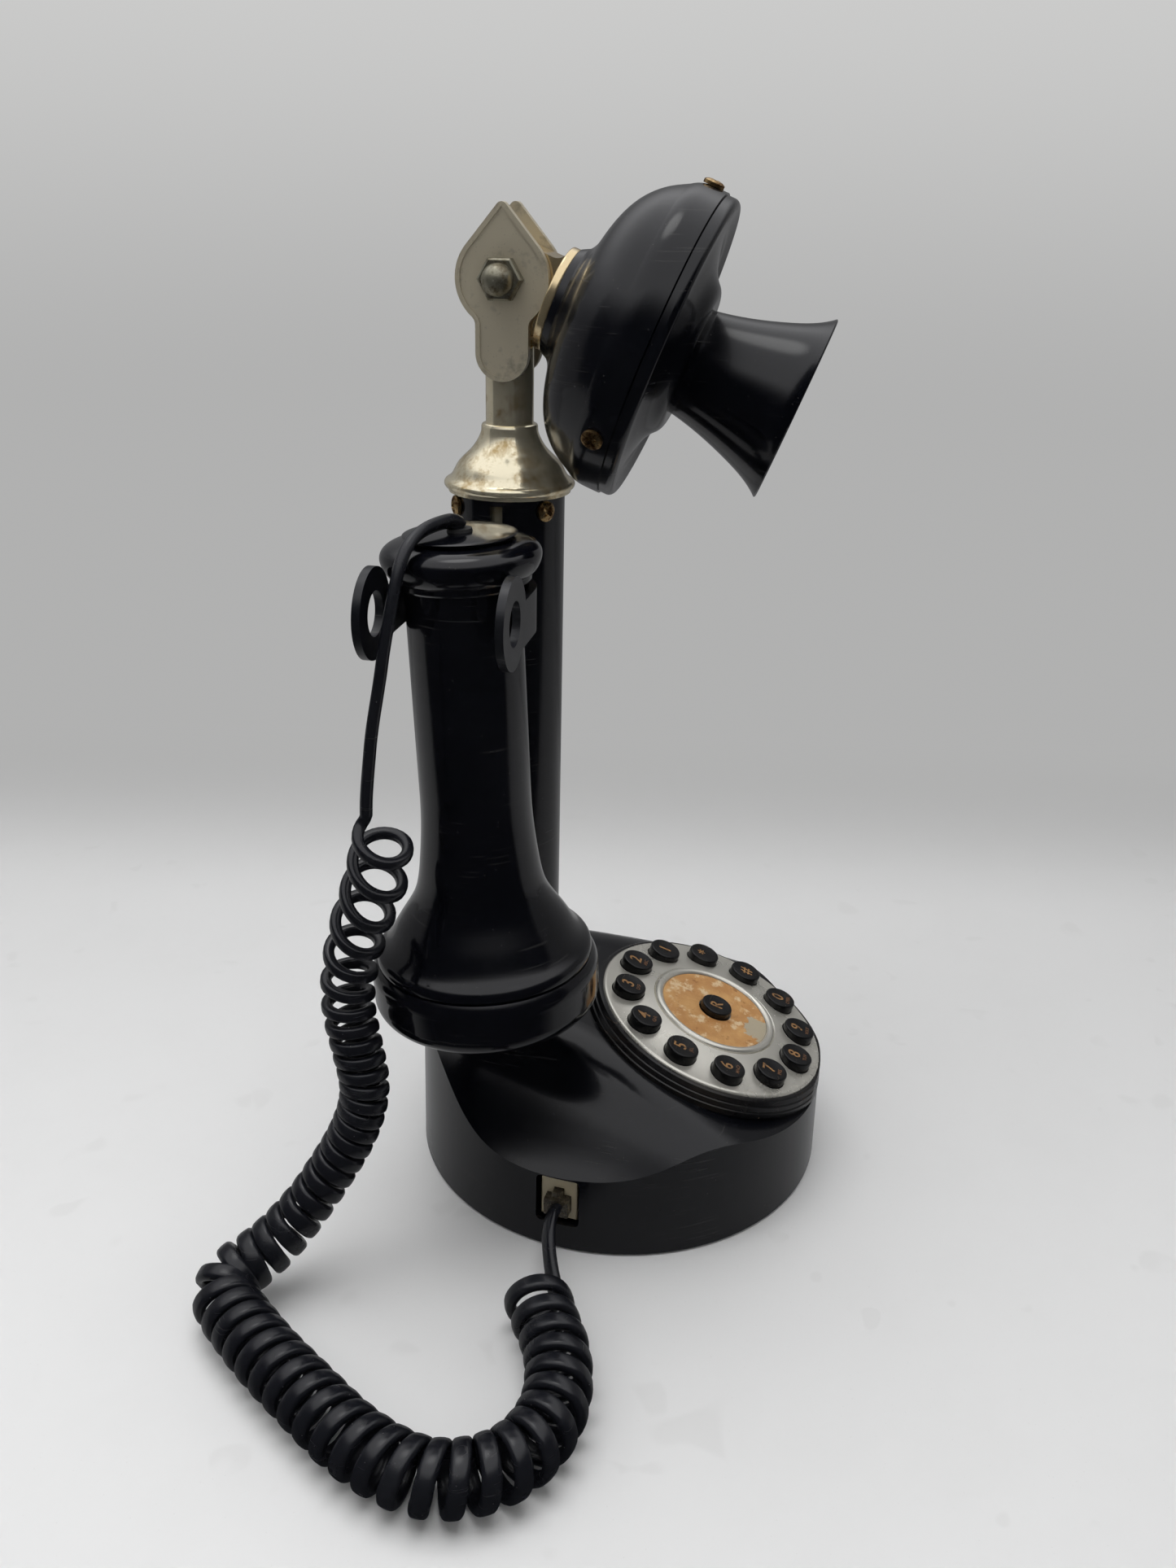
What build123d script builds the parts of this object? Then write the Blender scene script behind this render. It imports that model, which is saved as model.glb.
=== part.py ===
from build123d import *
from math import cos, degrees, pi, radians, sin, sqrt, tan
import os

# Candlestick telephone with a keypad base, in millimetres, +Z up.  The column stands on the origin,
# the keypad and the mouthpiece face -Y, and the receiver hangs on the -X side of the column.

os.makedirs("parts", exist_ok=True)


def write(piece, name):
    """Label a finished piece and write it to its own STEP file."""
    piece.label = name
    export_step(piece, f"parts/{name}.step")


# ---------------------------------------------------------------- driving sizes: base
base_radius = 67.5          # skirt at the table
base_draft = 0.9            # how much narrower the skirt is at its shoulder
base_wall = 2.8
skirt_lift = 0.8            # skirt's lower edge above the table
cavity_height = 21.0        # hollow under the housing, from the skirt's edge
rear_margin = 11.9          # from the column to the back of the skirt
plateau_height = 57.5       # top of the housing round the column
side_height = 21.5          # the hill's height where it runs out past the skirt's side
boss_radius = 19.0
boss_height = 2.6
base_plate_thickness = 2.0
foot_radius = 6.5
foot_taper = 0.4
foot_inset = 23.5           # foot centres inside the skirt
base_screw_inset = 10.5     # screw centres inside the skirt
screw_boss_radius = 3.4
screw_radius = 1.5
screw_head_radius = 2.9
screw_head_height = 0.6
base_screw_length = 9.0
plate_setback = 0.2         # base plate above the skirt's edge
screw_clearance = 0.05
ringer_radius = 11.0
ringer_height = 4.5
ringer_inset = 31.5         # ringer's centre inside the skirt, sideways
ringer_slot_pitch = 4.0
ringer_slot_length = 16.0
ringer_slot_width = 1.6

# ---------------------------------------------------------------- driving sizes: keypad
dial_tilt = 19.0            # degrees, leaning towards the user
dial_height = 48.4          # rim plane of the plate at its centre
dial_edge_margin = 0.4      # plate's front edge inside the skirt
plate_radius = 38.8
plate_skirt = 3.0
plate_crown = 2.0           # how far the plate rises towards the number card
plate_thickness = 1.2
bezel_height = 6.4
bezel_land = 1.4            # bezel's width outside the plate
bezel_flare = 1.9           # how much wider the bezel is at its foot
bezel_ledge = 1.2           # inner shelf under the plate
bezel_groove = 0.45
key_pitch_radius = 30.6
key_count = 12
first_key_angle = 45.0      # key 1, counted from +X towards the back
key_radius = 5.3
key_clearance = 0.25
key_proud = 3.6             # key tops above the plate's rim plane
redial_proud = 4.3
key_flange_radius = 6.6
key_flange_thickness = 1.4
key_travel = 2.0
key_dish = 0.35
flange_gap = 0.05
card_ring_radius = 21.2
card_ring_width = 2.6
card_ring_height = 0.95
card_thickness = 0.4
mat_thickness = 1.2
mat_boss_height = 0.6
mat_boss_radius = 3.4
board_thickness = 1.6
dial_post_circle = 15.6
dial_post_radius = 2.3
dial_post_count = 3

# ---------------------------------------------------------------- driving sizes: column and head
column_radius = 16.2
column_wall = 2.2
column_over_hook = 21.5     # column's top above the middle of the hook
slot_width = 3.6
slot_drop = 48.0            # slot's lower end below the middle of the hook
slot_top_margin = 1.8
collar_radius = 18.8
collar_step = 0.9
collar_height = 19.3
collar_neck_radius = 8.2
spigot_length = 9.0
column_screw_drop = 3.5     # screw centres under the column's top
column_screw_angles = (-144.0, -38.0, 89.0)
pan_head_radius = 2.9
pan_head_height = 1.5
stem_radius = 6.9
stem_wall = 1.6
stem_sink = 12.0            # stem inside the collar
stem_overlap = 10.8         # stem's top above the lower end of the yoke plates
bolt_over_column = 58.7     # yoke bolt above the column's top
yoke_inner_gap = 13.2       # between the two yoke plates
yoke_thickness = 2.8
yoke_head_radius = 13.1
yoke_apex = 20.3            # tip of the plate above the bolt
yoke_tongue = 27.0          # round end of the plate under the bolt
yoke_tongue_width = 15.0
yoke_border = 1.3
yoke_relief = 0.35
bolt_radius = 2.5
bolt_running_clearance = 0.05
nut_across_flats = 10.8
nut_thickness = 3.6
acorn_radius = 4.25
acorn_height = 6.0

# ---------------------------------------------------------------- driving sizes: transmitter
mouth_tilt = 21.5           # degrees below level at rest
knuckle_reach = 13.5        # bolt to the back of the knuckle's flange
knuckle_flange_radius = 14.4
knuckle_flange_thickness = 2.6
lug_radius = 10.4
lug_side_gap = 0.2
lug_flare = 1.8              # how much the lug widens where it meets the flange
lug_flare_length = 3.0
shell_depth = 30.7          # knuckle flange to the seam
shell_radius = 42.9
shell_wall = 2.4
seam_groove = 0.4
bezel_ring_step = 0.5       # front ring inside the shell's edge
bezel_ring_depth = 4.0
lip_thickness = 1.6         # bezel's lip inside the shell, which the rim screws hold
lip_depth = 7.5
face_boss_radius = 18.5
face_boss_height = 5.0
horn_base_radius = 14.7
horn_mid_radius = 20.0
horn_mouth_radius = 25.9
horn_length = 31.2
horn_wall = 2.2
mic_radius = 11.0
mic_depth = 7.0
rim_screw_angles = (0.0, 122.0, -122.0)
rim_screw_setback = 4.4     # rim screws behind the seam

# ---------------------------------------------------------------- driving sizes: receiver and hook
receiver_gap = 0.9          # ear cap to the column
receiver_lean = 2.7         # degrees, sideways
neck_radius = 15.7
neck_length = 62.0          # straight part of the body under the hook
flare_length = 42.0
flare_radius = 31.6
receiver_wall = 2.6
rest_collar_overlap = 1.3   # collar's edge over the hook's strap
rest_collar_height = 1.8
cap_radius = 21.4
cap_height = 11.6
ear_cap_radius = 33.4
ear_cap_height = 17.6
ear_cap_floor = 2.4
ear_dish_depth = 5.6
ear_dish_radius = 27.0
ear_hole_radius = 1.6
ear_hole_circle = 6.5
capsule_radius = 24.0
capsule_height = 8.0
grommet_radius = 3.6
grommet_height = 1.6
hook_height = 198.0         # middle of the hook's strap
hook_strap_height = 12.0
hook_strap_thickness = 2.2
hook_neck_clearance = 0.7
hook_rest_gap = 0.15        # strap to the receiver's collar
ring_centre_reach = 22.0    # ring centres beyond the receiver's axis
ring_rise = 3.0             # ring centres above the middle of the strap
ring_radius = 12.0
ring_hole_radius = 5.9
hook_stem_thickness = 3.0
hook_stem_height = 8.0
pivot_offset = 5.0          # pivot pin from the column's axis, towards the receiver
pivot_radius = 1.5
pivot_running_clearance = 0.05
hub_radius = 3.4
hub_width = 6.0
tail_reach = 9.0
tail_height = 3.0
spring_wire_radius = 0.35
spring_fit = 0.02           # hook spring's wire over the pin
spring_turns = 4
switch_height = 6.4
switch_width = 6.4
plunger_gap = 0.1

# ---------------------------------------------------------------- driving sizes: sockets and cord
jack_angle = -97.0          # round the skirt, from the front towards the receiver's side
jack_centre_height = 17.8
jack_recess_width = 13.8
jack_recess_height = 16.8
jack_body_width = 11.6
jack_body_height = 14.6
jack_body_depth = 13.0
jack_setback = 1.4          # jack's face behind the skirt
plug_width = 7.6
plug_height = 5.8
plug_length = 11.6
plug_clearance = 0.15
plug_proud = 3.4            # plug's end in front of the jack's face
latch_width = 3.0
latch_height = 2.2
line_jack_width = 14.0
line_jack_height = 12.0
line_jack_depth = 12.0
line_socket_width = 9.8
line_socket_height = 6.8
line_socket_depth = 9.0
line_jack_centre_height = 12.0
lead_diameter = 4.6
coil_diameter = 18.4
floor_gap = 0.1
coil_offset = 28.5          # coil's upper end beyond the receiver's axis

# ---------------------------------------------------------------- frames worked out from the sizes
foot_circle = base_radius - foot_inset
base_screw_circle = base_radius - base_screw_inset
column_top = hook_height + column_over_hook
slot_bottom = hook_height - slot_drop
bolt_height = column_top + bolt_over_column
bezel_ring_radius = shell_radius - bezel_ring_step
base_centre_y = -(base_radius - column_radius - rear_margin)
tilt_sin = sin(radians(dial_tilt))
tilt_cos = cos(radians(dial_tilt))
dial_centre_y = base_centre_y - (base_radius - plate_radius * tilt_cos - dial_edge_margin)
dial_centre = Vector(0, dial_centre_y, dial_height)
dial_normal = Vector(0, -tilt_sin, tilt_cos)
dial_up = Vector(0, tilt_cos, tilt_sin)
dial_plane = Plane(origin=dial_centre, x_dir=(1, 0, 0), z_dir=dial_normal)
dial_section = Plane(origin=dial_centre, x_dir=(1, 0, 0), z_dir=dial_up * -1)
dial_axis = Axis(dial_centre, dial_normal)

mouth_sin = sin(radians(mouth_tilt))
mouth_cos = cos(radians(mouth_tilt))
bolt_centre = Vector(0, 0, bolt_height)
mouth_direction = Vector(0, -mouth_cos, -mouth_sin)
mouth_up = Vector(0, -mouth_sin, mouth_cos)
mouth_section = Plane(origin=bolt_centre, x_dir=mouth_up, z_dir=(1, 0, 0))
mouth_axis = Axis(bolt_centre, mouth_direction)
seam_reach = knuckle_reach + knuckle_flange_thickness + shell_depth

receiver_x = -(column_radius + receiver_gap + ear_cap_radius)
lean_sin = sin(radians(receiver_lean))
lean_cos = cos(radians(receiver_lean))
receiver_centre = Vector(receiver_x, 0, hook_height)
receiver_up = Vector(0, lean_sin, lean_cos)
receiver_section = Plane(origin=receiver_centre, x_dir=(1, 0, 0), z_dir=(0, -lean_cos, lean_sin))
receiver_axis = Axis(receiver_centre, receiver_up)
# The arms clear the neck as far up the lean as the tops of the rings.
strap_inner = neck_radius + hook_neck_clearance + (ring_rise + ring_radius) * lean_sin
rest_collar_radius = strap_inner + rest_collar_overlap

column_inner = column_radius - column_wall
seat_level = -bezel_height
hook_bottom = hook_height - hook_strap_height / 2
hook_top = hook_height + hook_strap_height / 2
collar_seat = hook_strap_height / 2 + hook_rest_gap + rest_collar_radius * lean_sin


def mouth_plane(reach):
    """The plane square to the transmitter's axis at a distance from the bolt."""
    return Plane(origin=bolt_centre + mouth_direction * reach, x_dir=(1, 0, 0), z_dir=mouth_direction)


def receiver_plane(height):
    """The plane square to the receiver's axis at a height over the middle of the hook."""
    return Plane(origin=receiver_centre + receiver_up * height, x_dir=(1, 0, 0), z_dir=receiver_up)


def skirt_plane(angle, height, reach):
    """The upright plane facing outwards from the base's centre, at an angle round the skirt."""
    turn = radians(angle)
    outward = Vector(sin(turn), -cos(turn), 0)
    origin = Vector(0, base_centre_y, height) + outward * reach
    return Plane(origin=origin, x_dir=(cos(turn), sin(turn), 0), z_dir=outward)


# ---------------------------------------------------------------- base housing
def seat_height(y):
    """Height of the bezel's seat plane over the table, above a place on the centre line."""
    foot_z = dial_centre.Z + seat_level / tilt_cos
    return foot_z + (y - dial_centre_y) * tilt_sin / tilt_cos


front_edge = base_centre_y - base_radius - 5
back_edge = base_centre_y + base_radius + 1
seat_back = dial_centre_y + plate_radius * tilt_cos
side_reach = base_radius + 4.5
bezel_foot_radius = plate_radius + bezel_land + bezel_flare

# Each cross-section of the hill: place along Y, height of its flat top, half width of the flat,
# height where it runs out past the skirt's side and how steeply it arrives there.
hill_sections = (
    (front_edge, seat_height(front_edge), 30.0, side_height + 2.5, 0.5),
    (dial_centre_y, seat_height(dial_centre_y), bezel_foot_radius, side_height, 0.95),
    (seat_back, seat_height(seat_back), 0.6 * bezel_foot_radius, side_height + 2.0, 0.5),
    (0.0, plateau_height, boss_radius + 2.5, side_height - 3.0, 0.3),
    (back_edge, plateau_height - 7.0, boss_radius - 5.0, side_height - 6.0, 0.3),
)

with BuildPart() as base_housing:
    for place_y, top, flat, side_z, slope in hill_sections:
        with BuildSketch(Plane.XZ.offset(-place_y)) as hill_profile:
            with BuildLine() as hill_outline:
                Line((-flat, top), (flat, top))
                Spline((flat, top), (side_reach, side_z), tangents=((1, 0), (1, -slope)))
                Polyline((side_reach, side_z), (side_reach, 0), (-side_reach, 0), (-side_reach, side_z))
                Spline((-side_reach, side_z), (-flat, top), tangents=((1, slope), (1, 0)))
            make_face()
    loft()
    # Boss round the foot of the column.
    with BuildSketch(Plane.XY.offset(plateau_height - 6)):
        Circle(boss_radius)
    extrude(amount=boss_height + 6, taper=6)
    # The bezel's seat: a flat round pad, cleared above and filled below.
    with BuildSketch(dial_plane.offset(seat_level)):
        Circle(bezel_foot_radius)
    extrude(amount=-14)
    with BuildSketch(dial_plane.offset(seat_level)):
        Circle(bezel_foot_radius)
    extrude(amount=16, mode=Mode.SUBTRACT)
    # The drum trims the hill to the skirt.
    with Locations((0, base_centre_y, skirt_lift)):
        Cone(
            base_radius,
            base_radius - base_draft,
            plateau_height + 10,
            align=(Align.CENTER, Align.CENTER, Align.MIN),
            mode=Mode.INTERSECT,
        )
    # Hollow under the housing, and the well under the keypad.
    with Locations((0, base_centre_y, skirt_lift)):
        Cylinder(
            base_radius - base_draft - base_wall,
            cavity_height,
            align=(Align.CENTER, Align.CENTER, Align.MIN),
            mode=Mode.SUBTRACT,
        )
    with BuildSketch(dial_plane.offset(seat_level)):
        Circle(plate_radius - bezel_ledge)
    extrude(amount=-28, mode=Mode.SUBTRACT)
    # Bore for the column.
    with BuildSketch(Plane.XY):
        Circle(column_radius)
    extrude(amount=plateau_height + 20, mode=Mode.SUBTRACT)
    # Screw bosses that the base plate closes onto.
    with BuildSketch(Plane.XY.offset(skirt_lift + base_plate_thickness)):
        with Locations((0, base_centre_y)):
            with PolarLocations(base_screw_circle, 4, start_angle=45):
                Circle(screw_boss_radius)
    extrude(amount=cavity_height - base_plate_thickness + 1)
    with BuildSketch(Plane.XY):
        with Locations((0, base_centre_y)):
            with PolarLocations(base_screw_circle, 4, start_angle=45):
                Circle(screw_radius + screw_clearance)
    extrude(amount=12, mode=Mode.SUBTRACT)
    # Window for the receiver's cord jack, and one for the line jack at the back.
    with BuildSketch(skirt_plane(jack_angle, jack_centre_height, base_radius + 3)):
        RectangleRounded(jack_recess_width, jack_recess_height, 1.6)
    extrude(amount=-(base_draft + jack_setback + jack_body_depth + 3.5), mode=Mode.SUBTRACT)
    with BuildSketch(skirt_plane(180, line_jack_centre_height, base_radius + 3)):
        RectangleRounded(line_jack_width, line_jack_height, 1.0)
    extrude(amount=-(base_draft + jack_setback + line_jack_depth + 3.5), mode=Mode.SUBTRACT)
write(base_housing.part, "base_housing")
print("housing volume", round(base_housing.part.volume), "solids", len(base_housing.part.solids()))

# ---------------------------------------------------------------- base plate, feet and screws
plate_underside = skirt_lift + plate_setback
ringer_place = (ringer_inset - base_radius, base_centre_y - 24.0)
plate_top = skirt_lift + base_plate_thickness

with BuildPart() as base_plate:
    with BuildSketch(Plane.XY.offset(plate_underside)):
        with Locations((0, base_centre_y)):
            Circle(base_radius - base_draft - base_wall - 0.2)
    extrude(amount=plate_top - plate_underside)
    with BuildSketch(Plane.XY):
        with Locations((0, base_centre_y)):
            with PolarLocations(base_screw_circle, 4, start_angle=45):
                Circle(screw_radius + screw_clearance)
    extrude(amount=plate_top + 1, mode=Mode.SUBTRACT)
    # Cooling and sound slots under the ringer.
    with BuildSketch(Plane.XY):
        with Locations(ringer_place):
            with GridLocations(0, ringer_slot_pitch, 1, 4):
                SlotOverall(ringer_slot_length, ringer_slot_width)
    extrude(amount=plate_top + 1, mode=Mode.SUBTRACT)
write(base_plate.part, "base_plate")

with BuildPart() as base_feet:
    with Locations((0, base_centre_y)):
        with PolarLocations(foot_circle, 4):
            Cone(
                foot_radius - foot_taper,
                foot_radius,
                plate_underside,
                align=(Align.CENTER, Align.CENTER, Align.MIN),
            )
write(base_feet.part, "base_feet")

with BuildPart() as base_screws:
    with BuildSketch(Plane.XY.offset(plate_underside - screw_head_height)):
        with Locations((0, base_centre_y)):
            with PolarLocations(base_screw_circle, 4, start_angle=45):
                Circle(screw_head_radius)
    extrude(amount=screw_head_height)
    with BuildSketch(Plane.XY.offset(plate_underside)):
        with Locations((0, base_centre_y)):
            with PolarLocations(base_screw_circle, 4, start_angle=45):
                Circle(screw_radius)
    extrude(amount=base_screw_length)
write(base_screws.part, "base_screws")

# ---------------------------------------------------------------- inside the base
ballast_height = 12.0
ballast_length = 54.0
ballast_depth = 24.0
ballast_shift = 5.0
ballast_setback = 30.0
main_board_length = 70.0
main_board_depth = 34.0
main_board_lift = 8.0
standoff_radius = 2.6

with BuildPart() as ballast_weight:
    with BuildSketch(Plane.XY.offset(plate_top)):
        with Locations((ballast_shift, base_centre_y - ballast_setback)):
            RectangleRounded(ballast_length, ballast_depth, 3)
    extrude(amount=ballast_height)
write(ballast_weight.part, "ballast_weight")

with BuildPart() as main_board:
    with BuildSketch(Plane.XY.offset(plate_top + main_board_lift)):
        with Locations((0, base_centre_y + 8)):
            RectangleRounded(main_board_length, main_board_depth, 2)
    extrude(amount=board_thickness)
    # Standoffs down to the base plate, and the larger parts on the board.
    with BuildSketch(Plane.XY.offset(plate_top)):
        with Locations((0, base_centre_y + 8)):
            with GridLocations(main_board_length - 10, main_board_depth - 10, 2, 2):
                Circle(standoff_radius)
    extrude(amount=main_board_lift)
    with BuildSketch(Plane.XY.offset(plate_top + main_board_lift + board_thickness)):
        with Locations((-12, base_centre_y + 6), (14, base_centre_y + 14)):
            Rectangle(14, 7)
        with Locations((24, base_centre_y + 2)):
            Circle(3.2)
    extrude(amount=5)
write(main_board.part, "main_board")

with BuildPart() as tone_ringer:
    with BuildSketch(Plane.XY.offset(plate_top)):
        with Locations(ringer_place):
            Circle(ringer_radius)
    extrude(amount=ringer_height)
    with BuildSketch(Plane.XY.offset(plate_top + ringer_height)):
        with Locations(ringer_place):
            Circle(1.5)
    extrude(amount=-2, mode=Mode.SUBTRACT)
write(tone_ringer.part, "tone_ringer")

# ---------------------------------------------------------------- cord jack and plug
jack_reach = base_radius - base_draft - jack_setback
jack_face = skirt_plane(jack_angle, jack_centre_height, jack_reach)
socket_width = plug_width + 2 * plug_clearance
socket_height = plug_height + 2 * plug_clearance
socket_drop = -1.6          # plug's centre under the jack's centre
jack_foot_inset = 7.0


def foot_plane(face, depth):
    """The level plane on the base plate under the middle of a jack behind its face."""
    middle = face.origin - face.z_dir * (depth / 2 + 1)
    return Plane(origin=(middle.X, middle.Y, plate_top), x_dir=face.x_dir, z_dir=(0, 0, 1))


with BuildPart() as handset_jack:
    with BuildSketch(jack_face):
        Rectangle(jack_body_width, jack_body_height)
    extrude(amount=-jack_body_depth)
    fillet(handset_jack.faces().sort_by(Axis.X)[0].edges(), 0.5)
    with BuildSketch(jack_face):
        with Locations((0, socket_drop)):
            Rectangle(socket_width, socket_height)
        with Locations((0, socket_drop + socket_height / 2 + latch_height / 2)):
            Rectangle(latch_width + 2 * plug_clearance, latch_height + 2 * plug_clearance)
    extrude(amount=-(plug_length - plug_proud), mode=Mode.SUBTRACT)
    # Foot down to the base plate.
    with BuildSketch(foot_plane(jack_face, jack_body_depth)):
        Rectangle(jack_body_width - 3, jack_body_depth - jack_foot_inset)
    extrude(amount=jack_centre_height - jack_body_height / 2 - plate_top)
write(handset_jack.part, "handset_jack")

with BuildPart() as handset_plug:
    with BuildSketch(jack_face.offset(plug_proud)):
        with Locations((0, socket_drop)):
            Rectangle(plug_width, plug_height)
    extrude(amount=-plug_length)
    with BuildSketch(jack_face.offset(plug_proud - 0.8)):
        with Locations((0, socket_drop + plug_height / 2 + latch_height / 2)):
            Rectangle(latch_width, latch_height)
    extrude(amount=-(plug_length - 3))
write(handset_plug.part, "handset_plug")

line_jack_face = skirt_plane(180, line_jack_centre_height, base_radius - base_draft - jack_setback)
with BuildPart() as line_jack:
    with BuildSketch(line_jack_face):
        Rectangle(line_jack_width - 1, line_jack_height - 1)
    extrude(amount=-line_jack_depth)
    with BuildSketch(line_jack_face):
        Rectangle(line_socket_width, line_socket_height)
        with Locations((0, line_socket_height / 2 + 0.6)):
            Rectangle(4, 1.8)
    extrude(amount=-line_socket_depth, mode=Mode.SUBTRACT)
    with BuildSketch(foot_plane(line_jack_face, line_jack_depth)):
        Rectangle(line_jack_width - 4, line_jack_depth - jack_foot_inset)
    extrude(amount=line_jack_centre_height - (line_jack_height - 1) / 2 - plate_top)
write(line_jack.part, "line_jack")

# ---------------------------------------------------------------- keypad: bezel, plate, ring, card
bezel_outer = plate_radius + bezel_land
with BuildPart() as dial_bezel:
    with BuildSketch(dial_section):
        with BuildLine():
            Polyline(
                (plate_radius - bezel_ledge, seat_level),
                (bezel_foot_radius, seat_level),
                (bezel_foot_radius - 0.2, seat_level + 1.6),
                (bezel_foot_radius - 0.2 - bezel_groove, seat_level + 1.9),
                (bezel_foot_radius - 0.5, seat_level + 2.2),
                (bezel_foot_radius - 0.9, seat_level + 3.4),
                (bezel_foot_radius - 0.9 - bezel_groove, seat_level + 3.7),
                (bezel_foot_radius - 1.2, seat_level + 4.0),
                (bezel_outer, -1.1),
                (bezel_outer - 0.6, -0.7),
                (plate_radius + 0.1, -0.7),
                (plate_radius + 0.1, -plate_skirt),
                (plate_radius - bezel_ledge, -plate_skirt),
                close=True,
            )
        make_face()
    revolve(axis=dial_axis)
    # At the front the bezel is trimmed flush with the skirt.
    with Locations((0, base_centre_y, skirt_lift)):
        Cone(
            base_radius + 0.25,
            base_radius - base_draft + 0.25,
            plateau_height + 10,
            align=(Align.CENTER, Align.CENTER, Align.MIN),
            mode=Mode.INTERSECT,
        )
write(dial_bezel.part, "dial_bezel")

plate_lip = 1.4             # thickness of the plate's skirt
card_seat = plate_crown - 0.4
flange_top = -plate_thickness - flange_gap
flange_bottom = flange_top - key_flange_thickness
mat_boss_top = flange_bottom - key_travel - 0.2
mat_top = mat_boss_top - mat_boss_height
board_top = mat_top - mat_thickness
with BuildPart() as dial_plate:
    with BuildSketch(dial_section):
        with BuildLine():
            Line((0, -plate_thickness), (plate_radius - plate_lip, -plate_thickness))
            Polyline(
                (plate_radius - plate_lip, -plate_thickness),
                (plate_radius - plate_lip, -plate_skirt),
                (plate_radius, -plate_skirt),
                (plate_radius, -1.0),
            )
            RadiusArc((plate_radius, -1.0), (plate_radius - 1.1, 0), -1.1)
            Spline(
                (plate_radius - 1.1, 0),
                (card_ring_radius + 0.6, plate_crown),
                tangents=((-1, 0.02), (-1, 0.12)),
            )
            Polyline(
                (card_ring_radius + 0.6, plate_crown),
                (card_ring_radius, card_seat),
                (0, card_seat),
                (0, -plate_thickness),
            )
        make_face()
    revolve(axis=dial_axis)
    # Holes for the keys, and posts under the plate for the keypad's board.
    with BuildSketch(dial_plane.offset(-plate_thickness - 1)):
        with PolarLocations(key_pitch_radius, key_count, start_angle=first_key_angle):
            Circle(key_radius + key_clearance)
        Circle(key_radius + key_clearance)
    extrude(amount=plate_crown + 8, mode=Mode.SUBTRACT)
    with BuildSketch(dial_plane.offset(-plate_thickness)):
        with PolarLocations(dial_post_circle, dial_post_count, start_angle=30):
            Circle(dial_post_radius)
    extrude(amount=board_top + plate_thickness)
write(dial_plate.part, "dial_plate")

ring_middle = card_ring_radius - card_ring_width / 2
with BuildPart() as card_ring:
    with BuildSketch(dial_section):
        with BuildLine():
            Line((card_ring_radius - card_ring_width, card_seat), (card_ring_radius, card_seat))
            Line((card_ring_radius, card_seat), (card_ring_radius, card_seat + 0.5))
            ThreePointArc(
                (card_ring_radius, card_seat + 0.5),
                (ring_middle, card_seat + card_ring_height + 0.35),
                (card_ring_radius - card_ring_width, card_seat + 0.5),
            )
            Line(
                (card_ring_radius - card_ring_width, card_seat + 0.5),
                (card_ring_radius - card_ring_width, card_seat),
            )
        make_face()
    revolve(axis=dial_axis)
write(card_ring.part, "card_ring")

with BuildPart() as number_card:
    with BuildSketch(dial_plane.offset(card_seat)):
        Circle(card_ring_radius - card_ring_width - 0.05)
        Circle(key_radius + key_clearance + 0.1, mode=Mode.SUBTRACT)
    extrude(amount=card_thickness)
write(number_card.part, "number_card")

# ---------------------------------------------------------------- keypad: keys, mat and board
key_names = ["1", "2", "3", "4", "5", "6", "7", "8", "9", "0", "hash", "star"]
key_places = []
for index, key_name in enumerate(key_names):
    angle = radians(first_key_angle + index * 360 / key_count)
    place = (key_pitch_radius * cos(angle), key_pitch_radius * sin(angle))
    key_places.append((key_name, place, key_proud))
key_places.append(("redial", (0, 0), redial_proud))

for key_name, place, proud in key_places:
    key_origin = dial_plane.from_local_coords(Vector(place[0], place[1], 0))
    key_plane = Plane(origin=key_origin, x_dir=(1, 0, 0), z_dir=dial_normal)
    with BuildPart() as key:
        with BuildSketch(key_plane.offset(flange_bottom)):
            Circle(key_flange_radius)
        extrude(amount=key_flange_thickness)
        with BuildSketch(key_plane.offset(flange_top)):
            Circle(key_radius)
        extrude(amount=proud - flange_top)
        fillet(key.faces().sort_by(Axis(key_origin, dial_normal))[-1].edges(), 0.5)
        # The top is slightly dished for the fingertip.
        dish_radius = (key_radius**2 / key_dish + key_dish) / 2
        with Locations(key_plane.offset(proud - key_dish + dish_radius)):
            Sphere(dish_radius * 0.985, mode=Mode.SUBTRACT)
    write(key.part, f"key_{key_name}")

with BuildPart() as key_mat:
    with BuildSketch(dial_plane.offset(mat_top - mat_thickness)):
        Circle(plate_radius - bezel_ledge - 0.6)
        with PolarLocations(dial_post_circle, dial_post_count, start_angle=30):
            Circle(dial_post_radius + 0.3, mode=Mode.SUBTRACT)
    extrude(amount=mat_thickness)
    with BuildSketch(dial_plane.offset(mat_top)):
        with PolarLocations(key_pitch_radius, key_count, start_angle=first_key_angle):
            Circle(mat_boss_radius)
        Circle(mat_boss_radius)
    extrude(amount=mat_boss_height)
write(key_mat.part, "key_mat")

with BuildPart() as keypad_board:
    with BuildSketch(dial_plane.offset(board_top - board_thickness)):
        Circle(plate_radius - bezel_ledge - 0.4)
        with PolarLocations(dial_post_circle, dial_post_count, start_angle=30):
            Circle(1.2, mode=Mode.SUBTRACT)
    extrude(amount=board_thickness)
write(keypad_board.part, "keypad_board")

# ---------------------------------------------------------------- column
slot_top = column_top - slot_top_margin
tube_bottom = skirt_lift + cavity_height
pin_half_length = sqrt(column_inner**2 - pivot_offset**2) + 1.2
pivot_centre = Vector(-pivot_offset, 0, hook_height)

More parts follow.
